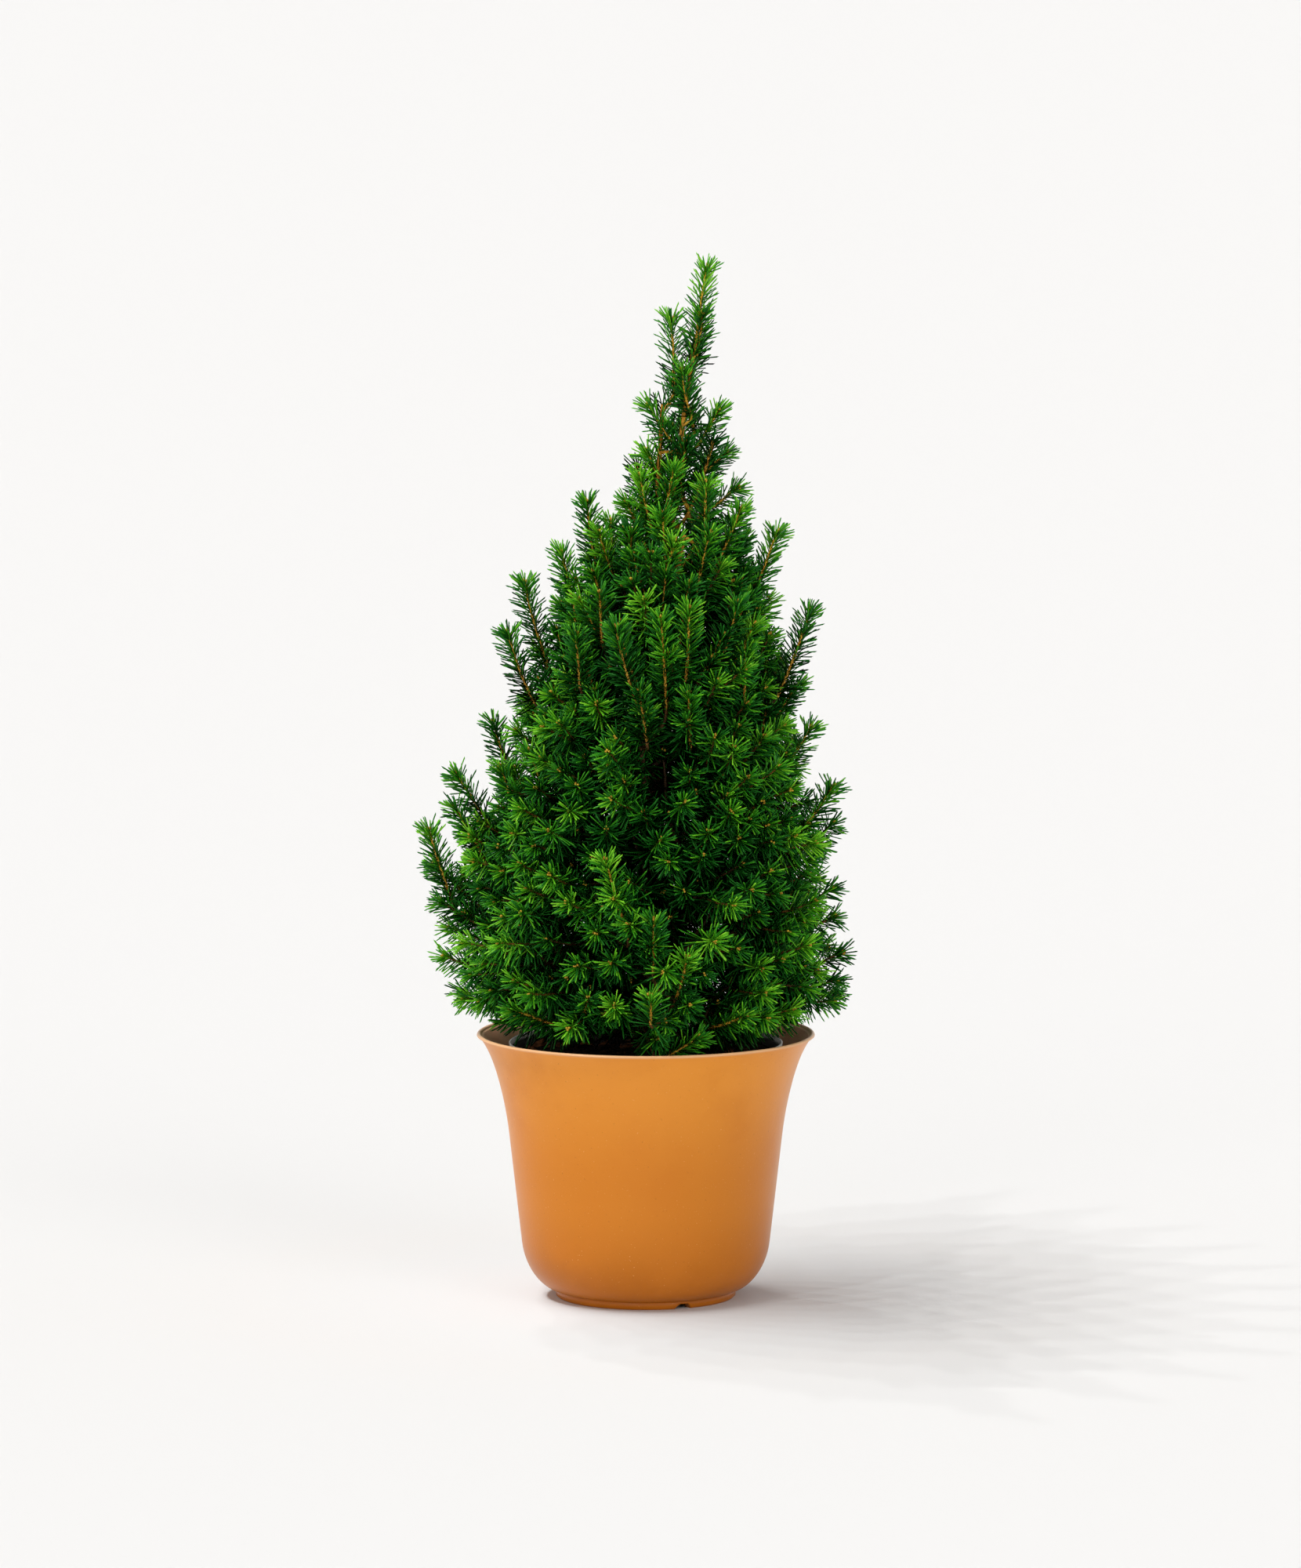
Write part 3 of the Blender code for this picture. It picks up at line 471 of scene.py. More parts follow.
def spread(numbers, count):
    """The same value for every point, or values that run from the first point to the last."""
    given = np.atleast_1d(numbers)
    return np.interp(np.linspace(0, 1, count), np.linspace(0, 1, len(given)), given)


def line_object(name, lines):
    """A mesh of separate open lines. Each line is its points and a dict of attributes."""
    vertices, edges = [], []
    values = {key: [] for key in lines[0][1]}
    for points, given in lines:
        first = len(vertices)
        vertices += points
        edges += [(first + n, first + n + 1) for n in range(len(points) - 1)]
        for key, numbers in given.items():
            values[key].extend(spread(numbers, len(points)))
    mesh = bpy.data.meshes.new(name)
    mesh.from_pydata(vertices, edges, [])
    for key, numbers in values.items():
        mesh.attributes.new(key, "FLOAT", "POINT").data.foreach_set("value", numbers)
    return new_object(name, mesh)


# %% [markdown]
# The light on the wood follows the tone of its needles. In the spire and on upright shoots in
# front the wood is never quite dark, because few needles hide it there.

# %% Lines of wood
WANDER = 0.0010
SAG = 0.06
SHOOT_STEPS = 6
FRONT_DEPTH = 0.5
TWIG_GIRTH = 0.0007
HEART_GIRTH = 0.0006
HEART_TAPER = 0.05
SPIRE_START = 0.355
SPIRE_GIRTH = 0.0010
SPIRE_LIGHT = 0.9
UPRIGHT_LIGHT = 0.6
SHOOT_GIRTHS = (0.0007, 0.0005)
UPRIGHT_GIRTHS = (0.00085, 0.0005)
DARK_TONE = 2.4
LIT_TONES = 2.6
FOOT_LIGHT = 0.4
TWIG_LIGHT = 0.5


def shoot_points(shoot, rng):
    """A nearly straight line from the shoot's base to its tip, with a slight sag and bend."""
    length = (shoot["tip"] - shoot["base"]).length
    wander = WANDER * (2 if shoot["upright"] else 1)
    side = shoot["aim"].orthogonal().normalized() * rng.uniform(-wander, wander)
    middle = (shoot["base"] + shoot["tip"]) / 2 + side - Vector((0, 0, SAG * length))
    return curve_points(shoot["base"], middle, shoot["tip"], SHOOT_STEPS)


def add_wood(line, points, run, shoot, tone):
    """The twig that leads to a shoot, and the shoot's own wood."""
    in_spire = shoot["base"].z > SPIRE_START
    light = min(1.0, max(0.0, (tone - DARK_TONE) / LIT_TONES))
    least = SPIRE_LIGHT if in_spire else 0.0
    girth = SPIRE_GIRTH if in_spire else TWIG_GIRTH + HEART_GIRTH * max(0.0, 1 - run / HEART_TAPER)
    wood = young if in_spire else old
    lights = (least, max(least, TWIG_LIGHT * light))
    wood.append((line, {"girth": (girth, TWIG_GIRTH), "light": lights}))
    if shoot["upright"]:
        wood = young
        least = max(least, UPRIGHT_LIGHT) if shoot["depth"] < FRONT_DEPTH else least
    girths = UPRIGHT_GIRTHS if shoot["upright"] else SHOOT_GIRTHS
    lights = (max(least, FOOT_LIGHT * light), max(least, light))
    wood.append((points, {"girth": girths, "light": lights}))


# %% [markdown]
# Seen from its end, a shoot is a rosette. Its needles are long and spread wide at the base,
# short and swept forward at the tip, with a dense brush on the last few millimetres. Where a
# shoot below the spire left last year's twig, a whorl of long ones stands out. Upright shoots
# and the spire carry slimmer sprays, inner shoots and old twigs sparse ones.


# %% Lines of needles
def needle_kind(gap, long, lean, tone=(-2.0, -0.6, 0.7), scatter=0.32, fat=1.0):
    """How needles sit on a line, from its base to its tip. Tones add to the shoot's own."""
    return {"gap": gap, "long": long, "lean": lean, "tone": tone, "scatter": scatter, "fat": fat}


UPRIGHT_NEEDLES = needle_kind(0.00026, (0.0106, 0.0106, 0.0098), (1.02, 0.86, 0.64))
SIDE_NEEDLES = needle_kind(0.00036, (0.0135, 0.0125, 0.0100), (1.45, 1.18, 0.80))
SPIRE_NEEDLES = needle_kind(0.00033, (0.0112, 0.0110, 0.0100), (0.92, 0.72, 0.50), fat=0.95)
INNER_NEEDLES = needle_kind(0.00095, (0.0125, 0.0118, 0.0105), (1.25, 1.00, 0.75))
BRUSH_NEEDLES = needle_kind(0.00020, 0.0098, 0.62, (0.2, 1.2), scatter=0.52)
WHORL_NEEDLES = needle_kind(0.00042, 0.0132, 1.28, (-1.8, -0.8), scatter=0.42)
OLD_NEEDLES = needle_kind(0.00090, 0.0122, 1.15, (-2.0,), scatter=0.38)
OLD_SPIRE_NEEDLES = SPIRE_NEEDLES | {"scatter": 0.3, "tone": (-1.2,)}
STEM_NEEDLES = SPIRE_NEEDLES | {"gap": 0.00045, "scatter": 0.3, "tone": (0.0,)}
SPRIG_NEEDLES = UPRIGHT_NEEDLES | {"scatter": 0.4, "tone": (0.0,)}
SPIRE_NEEDLE_HEIGHT = 0.40
SPIRE_BRUSH_DARKER = 0.6
BRUSH_START = 0.0040
BRUSH_END = 0.0005
INNER_DEPTH = 1.5


def add_needles(points, kind, tone, darker=0.0):
    tones = [tone + change - darker for change in kind["tone"]]
    needle_rows.append((points, kind | {"tone": tones}))


def add_sprays(line, points, shoot, tone):
    """The needles of one shoot and of the twig that leads to it."""
    in_spire = shoot["base"].z > SPIRE_START
    kind = UPRIGHT_NEEDLES if shoot["upright"] else SIDE_NEEDLES
    if shoot["tip"].z > SPIRE_NEEDLE_HEIGHT:
        kind = SPIRE_NEEDLES
    if shoot["depth"] > FRONT_DEPTH:
        kind = INNER_NEEDLES
    add_needles(points, kind, tone)
    add_needles(line[1:], OLD_SPIRE_NEEDLES if in_spire else OLD_NEEDLES, tone)
    if shoot["depth"] < INNER_DEPTH:
        tip, aim = shoot["tip"], shoot["aim"]
        ends = between(tip - aim * BRUSH_START, tip + aim * BRUSH_END, 3)
        add_needles(ends, BRUSH_NEEDLES, tone, SPIRE_BRUSH_DARKER if in_spire else 0.0)
    if shoot["depth"] < FRONT_DEPTH and not in_spire:
        ends = [points[0].lerp(points[1], share) for share in (0.0, 0.5, 1.0)]
        add_needles(ends, WHORL_NEEDLES, tone)


# %% Stalks of buds
BUD_STAND = 0.0016
SIDE_BUD_FOOT = 0.0012
SIDE_BUD_LEAN = 0.9
SIDE_BUD_STAND = 0.8


def bud_stalks(tip, aim, rng):
    """Short lines that end where buds sit: one at the tip, and two beside it."""
    stalks = [([tip, tip + aim * BUD_STAND], {})]
    across = aim.orthogonal()
    over = aim.cross(across)
    for _ in range(2):
        out = across * rng.uniform(-1, 1) + over * rng.uniform(-1, 1)
        out = (aim + SIDE_BUD_LEAN * out.normalized()).normalized()
        stalks.append(([tip - aim * SIDE_BUD_FOOT, tip + out * SIDE_BUD_STAND * BUD_STAND], {}))
    return stalks


# %% [markdown]
# A shoot's tone is brightest in the outer layer and darker in each layer behind it, which is
# painted shade; it is also brighter in the spire, and differs a little from shoot to shoot.
# Everything that grows on the shoot follows it.

# %% Lay out every line
FRONT_TONE = 4.6
LAYER_PAINTED_SHADE = 2.6
TONE_JITTER = 0.95
SPIRE_BRIGHTER = ((0.36, 0.0), (0.42, 0.75))
STEM_TONE = 4.0
SPRIG_TONE = 3.2
SPRIG_BARE = 8
rng = random.Random(SEED + 1)
young, old, needle_rows, bud_rows = [], [], [], []
for line, run, shoot in twigs:
    # Painted shade: each layer deeper into the crown takes a darker tone.
    tone = FRONT_TONE - LAYER_PAINTED_SHADE * shoot["depth"] + rng.uniform(-TONE_JITTER, TONE_JITTER)
    tone += read_off(SPIRE_BRIGHTER, shoot["tip"].z)
    points = shoot_points(shoot, rng)
    add_wood(line, points, run, shoot, tone)
    add_sprays(line, points, shoot, tone)
    if shoot["depth"] < INNER_DEPTH:
        bud_rows += bud_stalks(shoot["tip"], shoot["aim"], rng)
for path, _ in boughs:
    if path[-1].z > SPRIG_HEIGHT:
        add_needles(path[SPRIG_BARE:], SPRIG_NEEDLES, SPRIG_TONE)
for stem in (second_stem, main_stem):
    add_needles(stem, STEM_NEEDLES, STEM_TONE)
young_lines = line_object("young_lines", young)
old_lines = line_object("old_lines", old)
needle_lines = line_object("needle_lines", needle_rows)
bud_lines = line_object("bud_lines", bud_rows)
print("lines:", len(young), "young,", len(old), "old,", len(needle_rows), "of needles")

# %% [markdown]
# ## A Geometry Nodes tree, from inputs to plain mesh
#
# Each growing tree is built in the script: its inputs have names, and its random numbers have
# a fixed seed. A modifier's input is set by its socket's identifier, before the object is
# first evaluated. Then the evaluated result is copied to a plain mesh, without the attributes
# that only guided it, and the guide object's modifier is taken off again. Every tree has an
# input for its finish, and ends by giving it to the mesh.

# %% Trees with named inputs
GUIDES = ("girth", "fat", "gap", "long", "lean", "scatter", "tone", "turn")


def growing_tree(name, inputs):
    """A new tree with its named inputs, each given with its kind of socket."""
    tree = bpy.data.node_groups.new(name, "GeometryNodeTree")
    for key, kind in {"Geometry": "Geometry", "Finish": "Material", **inputs}.items():
        tree.interface.new_socket(key, in_out="INPUT", socket_type=f"NodeSocket{kind}")
    tree.interface.new_socket("Geometry", in_out="OUTPUT", socket_type="NodeSocketGeometry")
    graph = Graph(tree)
    return graph, graph.add("NodeGroupInput")


def close_tree(graph, source, geometry):
    """Ends a tree: instances become real, and the mesh gets its finish."""
    real = graph.add("GeometryNodeRealizeInstances", {"Geometry": geometry})
    inputs = {"Geometry": real, "Material": source.out("Finish")}
    painted = graph.add("GeometryNodeSetMaterial", inputs)
    out = graph.tree.nodes.new("NodeGroupOutput")
    graph.tree.links.new(painted.socket, out.inputs[0])
    return graph.tree


def grow(name, guide, tree, values):
    """Runs a tree on a guide object and returns the result as a new plain mesh object."""
    modifier = guide.modifiers.new("grow", "NODES")
    modifier.node_group = tree
    for item in tree.interface.items_tree:
        if item.in_out == "INPUT" and item.name in values:
            modifier[item.identifier] = values[item.name]
    graph = bpy.context.evaluated_depsgraph_get()
    mesh = bpy.data.meshes.new_from_object(guide.evaluated_get(graph), depsgraph=graph)
    guide.modifiers.remove(modifier)
    for key in [attribute.name for attribute in mesh.attributes if attribute.name in GUIDES]:
        mesh.attributes.remove(mesh.attributes[key])
    print(name, len(mesh.polygons), "faces")
    return new_object(name, mesh)


# %% [markdown]
# ## Finishes
#
# Every finish starts from a Principled shader. `finish` makes one, and hands its graph and
# shader back so that each recipe can wire in what changes over the surface.


# %% A start for every finish
def finish(name, colour, roughness, **constants):
    material = bpy.data.materials.new(name)
    material.use_nodes = True
    shader = material.node_tree.nodes["Principled BSDF"]
    shader.inputs["Base Color"].default_value = (*colour, 1)
    shader.inputs["Roughness"].default_value = roughness
    for key, value in constants.items():
        shader.inputs[key.replace("_", " ")].default_value = value
    return material, Graph(material.node_tree), shader


def feed(shader, key, wire):
    """Links a wire to one of the shader's sockets."""
    wire.graph.tree.links.new(wire.socket, shader.inputs[key])


def place(graph, scale=(1, 1, 1)):
    """Object coordinates, stretched."""
    where = graph.add("ShaderNodeTexCoord").out("Object")
    return graph.add("ShaderNodeMapping", {"Vector": where, "Scale": scale})


def height_of(graph, where):
    return graph.add("ShaderNodeSeparateXYZ", {0: where}).out("Z")


def noise_at(graph, where, scale, detail=3.0, roughness=0.5):
    inputs = {"Vector": where, "Scale": scale, "Detail": detail, "Roughness": roughness}
    return graph.add("ShaderNodeTexNoise", inputs)


def ramp(graph, value, low, high):
    """0 below low, 1 above high, and smooth between."""
    inputs = {"Value": value, "From Min": low, "From Max": high}
    return graph.add("ShaderNodeMapRange", inputs, interpolation_type="SMOOTHSTEP")


FIRST_COLOUR, SECOND_COLOUR, MIXED_COLOUR = 6, 7, 2


def blend(graph, factor, first, second):
    """Mixes two colours, each a wire or three numbers."""
    inputs = {0: factor}
    for key, colour in ((FIRST_COLOUR, first), (SECOND_COLOUR, second)):
        inputs[key] = colour if isinstance(colour, Wire) else (*colour, 1)
    return graph.add("ShaderNodeMix", inputs, out=MIXED_COLOUR, data_type="RGBA")


def bump(graph, shader, height, distance, strength=1.0):
    inputs = {"Height": height, "Distance": distance, "Strength": strength}
    feed(shader, "Normal", graph.add("ShaderNodeBump", inputs))


# %% [markdown]
# ## The pot
#
# The pot is a turned bell of dyed plastic with a satin face: a rounded belly on a low foot
# ring, a wall that leans out, and a rim that flares to a thin pale lip. A turned shape is its
# profile swept round an axis, so the mesh is written as rings of points, many more than the
# solid's. Where the foot ring has its drainage notches, the lowest points are lifted.

# %% Turning
def object_of(name, shape, smooth=True):
    """A finished bmesh as an object."""
    mesh = bpy.data.meshes.new(name)
    shape.to_mesh(mesh)
    shape.free()
    if smooth:
        mesh.shade_smooth()
    return new_object(name, mesh)


def turned_mesh(name, profile, sides):
    """A mesh turned round the Z axis from (radius, height) points, each end on the axis."""
    shape = bmesh.new()
    rings = []
    for radius, height in profile:
        if radius == 0:
            rings.append([shape.verts.new((0, 0, height))])
            continue
        angles = [2 * math.pi * side / sides for side in range(sides)]
        rings.append([shape.verts.new((*(radius * around(a))[:2], height)) for a in angles])
    for low, high in zip(rings, rings[1:]):
        for side in range(sides):
            after = (side + 1) % sides
            corners = [low[side % len(low)], low[after % len(low)]]
            corners += [high[after % len(high)], high[side % len(high)]]
            shape.faces.new(list(dict.fromkeys(corners)))
    bmesh.ops.recalc_face_normals(shape, faces=shape.faces)
    return object_of(name, shape)


# %% The pot's profile
POT_HEIGHT = 0.130
POT_WALL = 0.0021
WALL_FOOT = 0.0576
WALL_SLOPE = 0.115
WALL_TOP = POT_HEIGHT - 0.0012
WALL_STEPS = 40
WALL_CROWDING = 1.5
FLARE_START = 0.080
FLARE = 0.007
LIP_FLARE = 0.003
LIP = 0.0011
LIP_STEPS = 8
BELLY_TOP = 0.027
BELLY_HEIGHT = 0.0235
BELLY_DEPTH = 0.016
BELLY_TURN = math.radians(84)
BELLY_STEPS = 14
FOOT_RADIUS = 0.044
FOOT_RING = 0.006
FOOT_INSIDE = FOOT_RADIUS - FOOT_RING
FOOT_HEIGHT = 0.0035
FOOT_GROOVE = 0.0003
FOOT_EDGE = 0.0008
FLOOR = 0.0065
FLOOR_EDGE = 0.004


def pot_wall_radius(height):
    flare = max(0.0, (height - FLARE_START) / (POT_HEIGHT - FLARE_START))
    return WALL_FOOT + WALL_SLOPE * height + FLARE * flare**2 + LIP_FLARE * flare**8


def pot_profile():
    """From the foot's middle up the outside, over the lip, and down to the floor's middle."""
    outer = []
    for step in range(BELLY_STEPS + 1):
        turn = BELLY_TURN * (1 - step / BELLY_STEPS)
        height = BELLY_TOP - BELLY_HEIGHT * math.sin(turn)
        outer.append((pot_wall_radius(height) - BELLY_DEPTH * (1 - math.cos(turn)), height))
    for step in range(1, WALL_STEPS + 1):
        share = 1 - (1 - step / WALL_STEPS) ** WALL_CROWDING
        height = BELLY_TOP + (WALL_TOP - BELLY_TOP) * share
        outer.append((pot_wall_radius(height), height))
    rim = pot_wall_radius(POT_HEIGHT) - 0.5 * POT_WALL
    turns = [math.radians(180 * step / LIP_STEPS) for step in range(LIP_STEPS + 1)]
    lip = [(rim + LIP * math.cos(t), POT_HEIGHT - LIP + LIP * math.sin(t)) for t in turns]
    inner = [(r - POT_WALL, z) for r, z in outer if z > FLOOR + FLOOR_EDGE]
    foot = [(0, FOOT_HEIGHT), (FOOT_INSIDE, FOOT_HEIGHT), (FOOT_INSIDE, FOOT_EDGE)]
    foot += [(FOOT_INSIDE + FOOT_EDGE, 0), (FOOT_RADIUS - FOOT_EDGE, 0), (FOOT_RADIUS, FOOT_EDGE)]
    foot.append((FOOT_RADIUS, FOOT_HEIGHT - FOOT_GROOVE))
    floor = [(inner[0][0] - FLOOR_EDGE, FLOOR), (0, FLOOR)]
    return [*foot, *outer, *lip, *reversed(inner), *floor]


# %% Turn the pot and cut its notches
POT_SIDES = 192
NOTCHES = 3
NOTCH_WIDTH = 0.008
NOTCH_HEIGHT = 0.0024
FIRST_NOTCH = math.radians(-65.3)
TOUCH = 0.0001

pot = turned_mesh("pot_turned", pot_profile(), POT_SIDES)
for v in pot.data.vertices:
    radius = math.hypot(v.co.x, v.co.y)
    if v.co.z < NOTCH_HEIGHT and radius > FOOT_INSIDE - TOUCH:
        for notch in range(NOTCHES):
            away = math.atan2(v.co.y, v.co.x) - FIRST_NOTCH - notch * 2 * math.pi / NOTCHES
            offset = abs(math.remainder(away, 2 * math.pi)) * FOOT_RADIUS
            if offset < NOTCH_WIDTH / 2:
                v.co.z = NOTCH_HEIGHT * min(1.0, 3 * (1 - 2 * offset / NOTCH_WIDTH)) + v.co.z * 0.2
print("pot:", len(pot.data.polygons), "faces")

# %% [markdown]
# The pot's colour is a warm clay orange that deepens towards the foot. Fine dark and pale
# specks and faint mottling keep it from looking sprayed. The top of the lip is painted paler,
# a painted highlight along the rim. The inside is painted a light pinkish brown, lightened as
# painted light so that it shows lit in the shade under the foliage.


# %% Finish of the pot
def clay_plastic():
    material, graph, shader = finish("clay_plastic", (0.7, 0.25, 0.03), 0.36, Specular_IOR_Level=0.25)
    where = place(graph)
    height = height_of(graph, where)
    low, middle, high = (0.45, 0.125, 0.002), (0.62, 0.198, 0.012), (0.76, 0.275, 0.028)
    body = blend(graph, ramp(graph, height, 0.005, 0.055), low, middle)
    body = blend(graph, ramp(graph, height, 0.060, 0.122), body, high)
    mottle = noise_at(graph, where, 24.0, 4.0, 0.6)
    body = blend(graph, ramp(graph, mottle, 0.40, 0.75) * 0.5, body, (0.60, 0.180, 0.010))
    fine = noise_at(graph, where, 900.0, 2.0)
    body = blend(graph, ramp(graph, fine, 0.69, 0.76) * 0.40, body, (0.32, 0.090, 0.008))
    pale = ramp(graph, noise_at(graph, where, 1150.0, 1.0), 0.73, 0.79) * 0.4
    body = blend(graph, pale, body, (0.90, 0.52, 0.20))
    inside = graph.add("ShaderNodeAttribute", attribute_name="inside").out("Fac")
    # Painted light: the inside wall is lightened to a pale pinkish brown, so that it shows lit in the
    # shade under the foliage.
    painted_light_inside = blend(graph, ramp(graph, mottle, 0.35, 0.65), (0.96, 0.47, 0.28), (1.0, 0.58, 0.38))
    body = blend(graph, inside, body, painted_light_inside)
    # Painted highlight: the top of the lip is painted paler, as light catching the rim.
    lip = ramp(graph, height, POT_HEIGHT - 0.0022, POT_HEIGHT - 0.0004)
    feed(shader, "Base Color", blend(graph, lip * 0.65, body, (0.86, 0.56, 0.33)))
    feed(shader, "Roughness", 0.28 + 0.12 * mottle + 0.5 * inside)
    bump(graph, shader, noise_at(graph, where, 600.0, 3.0), 0.0002, 0.25)
    return material


faces_in = [v.normal.x * v.co.x + v.normal.y * v.co.y <= 0 for v in pot.data.vertices]
inside = [float(inward and v.co.z >= FLOOR) for inward, v in zip(faces_in, pot.data.vertices)]
pot.data.attributes.new("inside", "FLOAT", "POINT").data.foreach_set("value", inside)
pot.data.materials.append(clay_plastic())
print("points inside the pot:", int(sum(inside)))

# %% [markdown]
# ## The nursery liner and the soil
#
# Inside the pot stands the thin liner that the plant was raised in. Only its edge shows,
# painted pale as a highlight on the dark plastic.
# The soil in it is a dark peat mix, so its top is a lumpy disc with bark chips and crumbs. The
# chips repeat, so Geometry Nodes scatters them: points spread over the faces that look up,
# each with a chip turned and sized at random.

# %% Liner
LINER_RIM = 0.0672
LINER_WALL = 0.001
LINER_BASE = 0.0068
LINER_FOOT = 0.044
LINER_TOP = 0.1255
LINER_BEAD = 0.0016
LINER_CURVE = 0.6
LINER_STEPS = (0.001, 0.004, 0.016, 0.045)
LINER_SIDES = 128


def liner_radius(height):
    share = (height - LINER_BASE) / (LINER_TOP - LINER_BASE)
    return LINER_FOOT + (LINER_RIM - LINER_BEAD - LINER_FOOT) * max(0.0, share) ** LINER_CURVE


def liner_profile(wall, base, top):
    """Points up the liner's side, moved in by a wall."""
    heights = [*(base + step for step in LINER_STEPS), 0.1215]
    return [(liner_radius(z) - wall, z) for z in heights if z < top]


outer = liner_profile(0.0, LINER_BASE, 0.13)
bead = ((0.0006, 0.1219), (0.0003, 0.1252), (0.0008, 0.1256), (0.0013, 0.1252))
edge = [(LINER_RIM - step, height) for step, height in bead]
inner = [(r - LINER_WALL, z) for r, z in reversed(outer) if z > 0.009]
floor = [(0.040, LINER_BASE + LINER_WALL), (0, LINER_BASE + LINER_WALL)]
profile = [(0, LINER_BASE), (0.041, LINER_BASE), *outer, *edge, *inner, *floor]
liner = turned_mesh("liner_edge", profile, LINER_SIDES)
material, graph, shader = finish("liner_plastic", (0.60, 0.58, 0.54), 0.38)
dust = noise_at(graph, place(graph), 220.0, 4.0)
# Painted highlight: the top edge of the dark liner is painted pale, dimmed in patches by dust.
painted_edge_highlight = ramp(graph, height_of(graph, place(graph)), 0.1228, 0.1242)
painted_edge_highlight = painted_edge_highlight * (1 - 0.3 * ramp(graph, dust, 0.45, 0.75))
feed(shader, "Base Color", blend(graph, painted_edge_highlight, (0.030, 0.022, 0.016), (0.90, 0.87, 0.82)))
feed(shader, "Roughness", 0.75 - 0.35 * painted_edge_highlight)
liner.data.materials.append(material)
print("liner:", len(liner.data.polygons), "faces")

# %% Soil
SOIL_SIDES = 120
SOIL_RINGS = 34
SOIL_BASE = 0.0084
SOIL_WALL = 0.0017
SOIL_EDGE = 0.1200
SOIL_DOME = 0.0022
SOIL_RADIUS = 0.064
SOIL_RELIEF = 0.0016
SOIL_LUMPS = 130

wall = liner_profile(SOIL_WALL, SOIL_BASE, 0.118)
radii = np.linspace(0.0630, 0.0030, SOIL_RINGS)
rings = [(radius, SOIL_EDGE + SOIL_DOME * (1 - (radius / SOIL_RADIUS) ** 2)) for radius in radii]
profile = [(0, SOIL_BASE), (0.040, SOIL_BASE), *wall, *rings, (0, SOIL_TOP)]
soil = turned_mesh("soil_mix", profile, SOIL_SIDES)
for v in soil.data.vertices:
    if v.co.z > 0.119 and math.hypot(v.co.x, v.co.y) < 0.0628:
        v.co.z += SOIL_RELIEF * noise.fractal(v.co * SOIL_LUMPS, 0.8, 2.0, 4)


def peat():
    material, graph, shader = finish("peat", (0.02, 0.013, 0.008), 0.95, Specular_IOR_Level=0.05)
    grain = noise_at(graph, place(graph), 420.0, 5.0, 0.65)
    damp, crumb = (0.010, 0.007, 0.004), (0.060, 0.034, 0.016)
    feed(shader, "Base Color", blend(graph, ramp(graph, grain, 0.45, 0.8), damp, crumb))
    bump(graph, shader, grain, 0.0012, 0.8)
    return material


soil.data.materials.append(peat())
print("soil:", len(soil.data.polygons), "faces")


# %% Bark chips
CHIP_SHAPE = (1, 0.55, 0.28)
CHIP_UNEVEN = 0.12
CHIPS_ABOVE = 0.1185


def chip_object(rng):
    """One chip: a flat, uneven six-sided slab about a unit long."""
    shape = bmesh.new()
    bmesh.ops.create_cube(shape, size=1)
    for v in shape.verts:
        v.co = Vector([along * share for along, share in zip(v.co, CHIP_SHAPE)])
        v.co += Vector([rng.uniform(-CHIP_UNEVEN, CHIP_UNEVEN) for _ in range(3)])
    return object_of("chip", shape, smooth=False)


def model(graph, source, name):
    """The mesh of the object that a tree is given under a name."""
    return graph.add("GeometryNodeObjectInfo", {"Object": source.out(name)}, "Geometry")


def scatter_tree():
    inputs = {"Chip": "Object", "Per square metre": "Float", "Smallest": "Float"}
    graph, source = growing_tree("scatter", inputs | {"Largest": "Float", "Seed": "Int"})
    top = height_of(graph, graph.add("GeometryNodeInputPosition")) > CHIPS_ABOVE
    inputs = {"Mesh": source.out("Geometry"), "Selection": top, "Seed": source.out("Seed")}
    inputs["Density"] = source.out("Per square metre")
    points = graph.add("GeometryNodeDistributePointsOnFaces", inputs)
    inputs = {0: (-0.5, -0.5, -3.14), 1: (0.5, 0.5, 3.14), "Seed": source.out("Seed")}
    turn = graph.add("FunctionNodeRandomValue", inputs, data_type="FLOAT_VECTOR")
    inputs = {2: source.out("Smallest"), 3: source.out("Largest"), "Seed": source.out("Seed")}
    size = graph.add("FunctionNodeRandomValue", inputs, out=1)
    turn = graph.add("FunctionNodeEulerToRotation", {0: turn})
    inputs = {"Points": points, "Instance": model(graph, source, "Chip"), "Rotation": turn}
    placed = graph.add("GeometryNodeInstanceOnPoints", inputs | {"Scale": size})
    return close_tree(graph, source, placed)


def chip_finish(name, dark, light):
    material, graph, shader = finish(name, dark, 0.85, Specular_IOR_Level=0.08)
    grain = noise_at(graph, place(graph, (1, 1, 3)), 300.0, 4.0)
    feed(shader, "Base Color", blend(graph, ramp(graph, grain, 0.35, 0.7), dark, light))
    return material


chip = chip_object(random.Random(4))
tree = scatter_tree()
values = {"Chip": chip, "Per square metre": 26000.0, "Seed": 3}
values |= {"Smallest": 0.0012, "Largest": 0.0034}
values["Finish"] = chip_finish("dark_bark_chip", (0.020, 0.011, 0.006), (0.055, 0.030, 0.014))
crumbs = grow("soil_crumbs", soil, tree, values)
values |= {"Per square metre": 2600.0, "Seed": 8, "Smallest": 0.0030, "Largest": 0.0085}
values["Finish"] = chip_finish("orange_bark_chip", (0.085, 0.032, 0.012), (0.26, 0.10, 0.035))
chips = grow("bark_chips", soil, tree, values)
bpy.data.objects.remove(chip)

# %% [markdown]
# ## Trunk and boughs
#
# Young spruce bark is rough and flaky, with ridges that run up the stem. Relief that shows at
# the outline has to be in the mesh, so each limb is a tube with its points pushed in and out
# by a noise that is drawn out along the limb.

# %% Limbs with bark relief
BARK_ROUND = 2.6
BARK_ALONG = 90


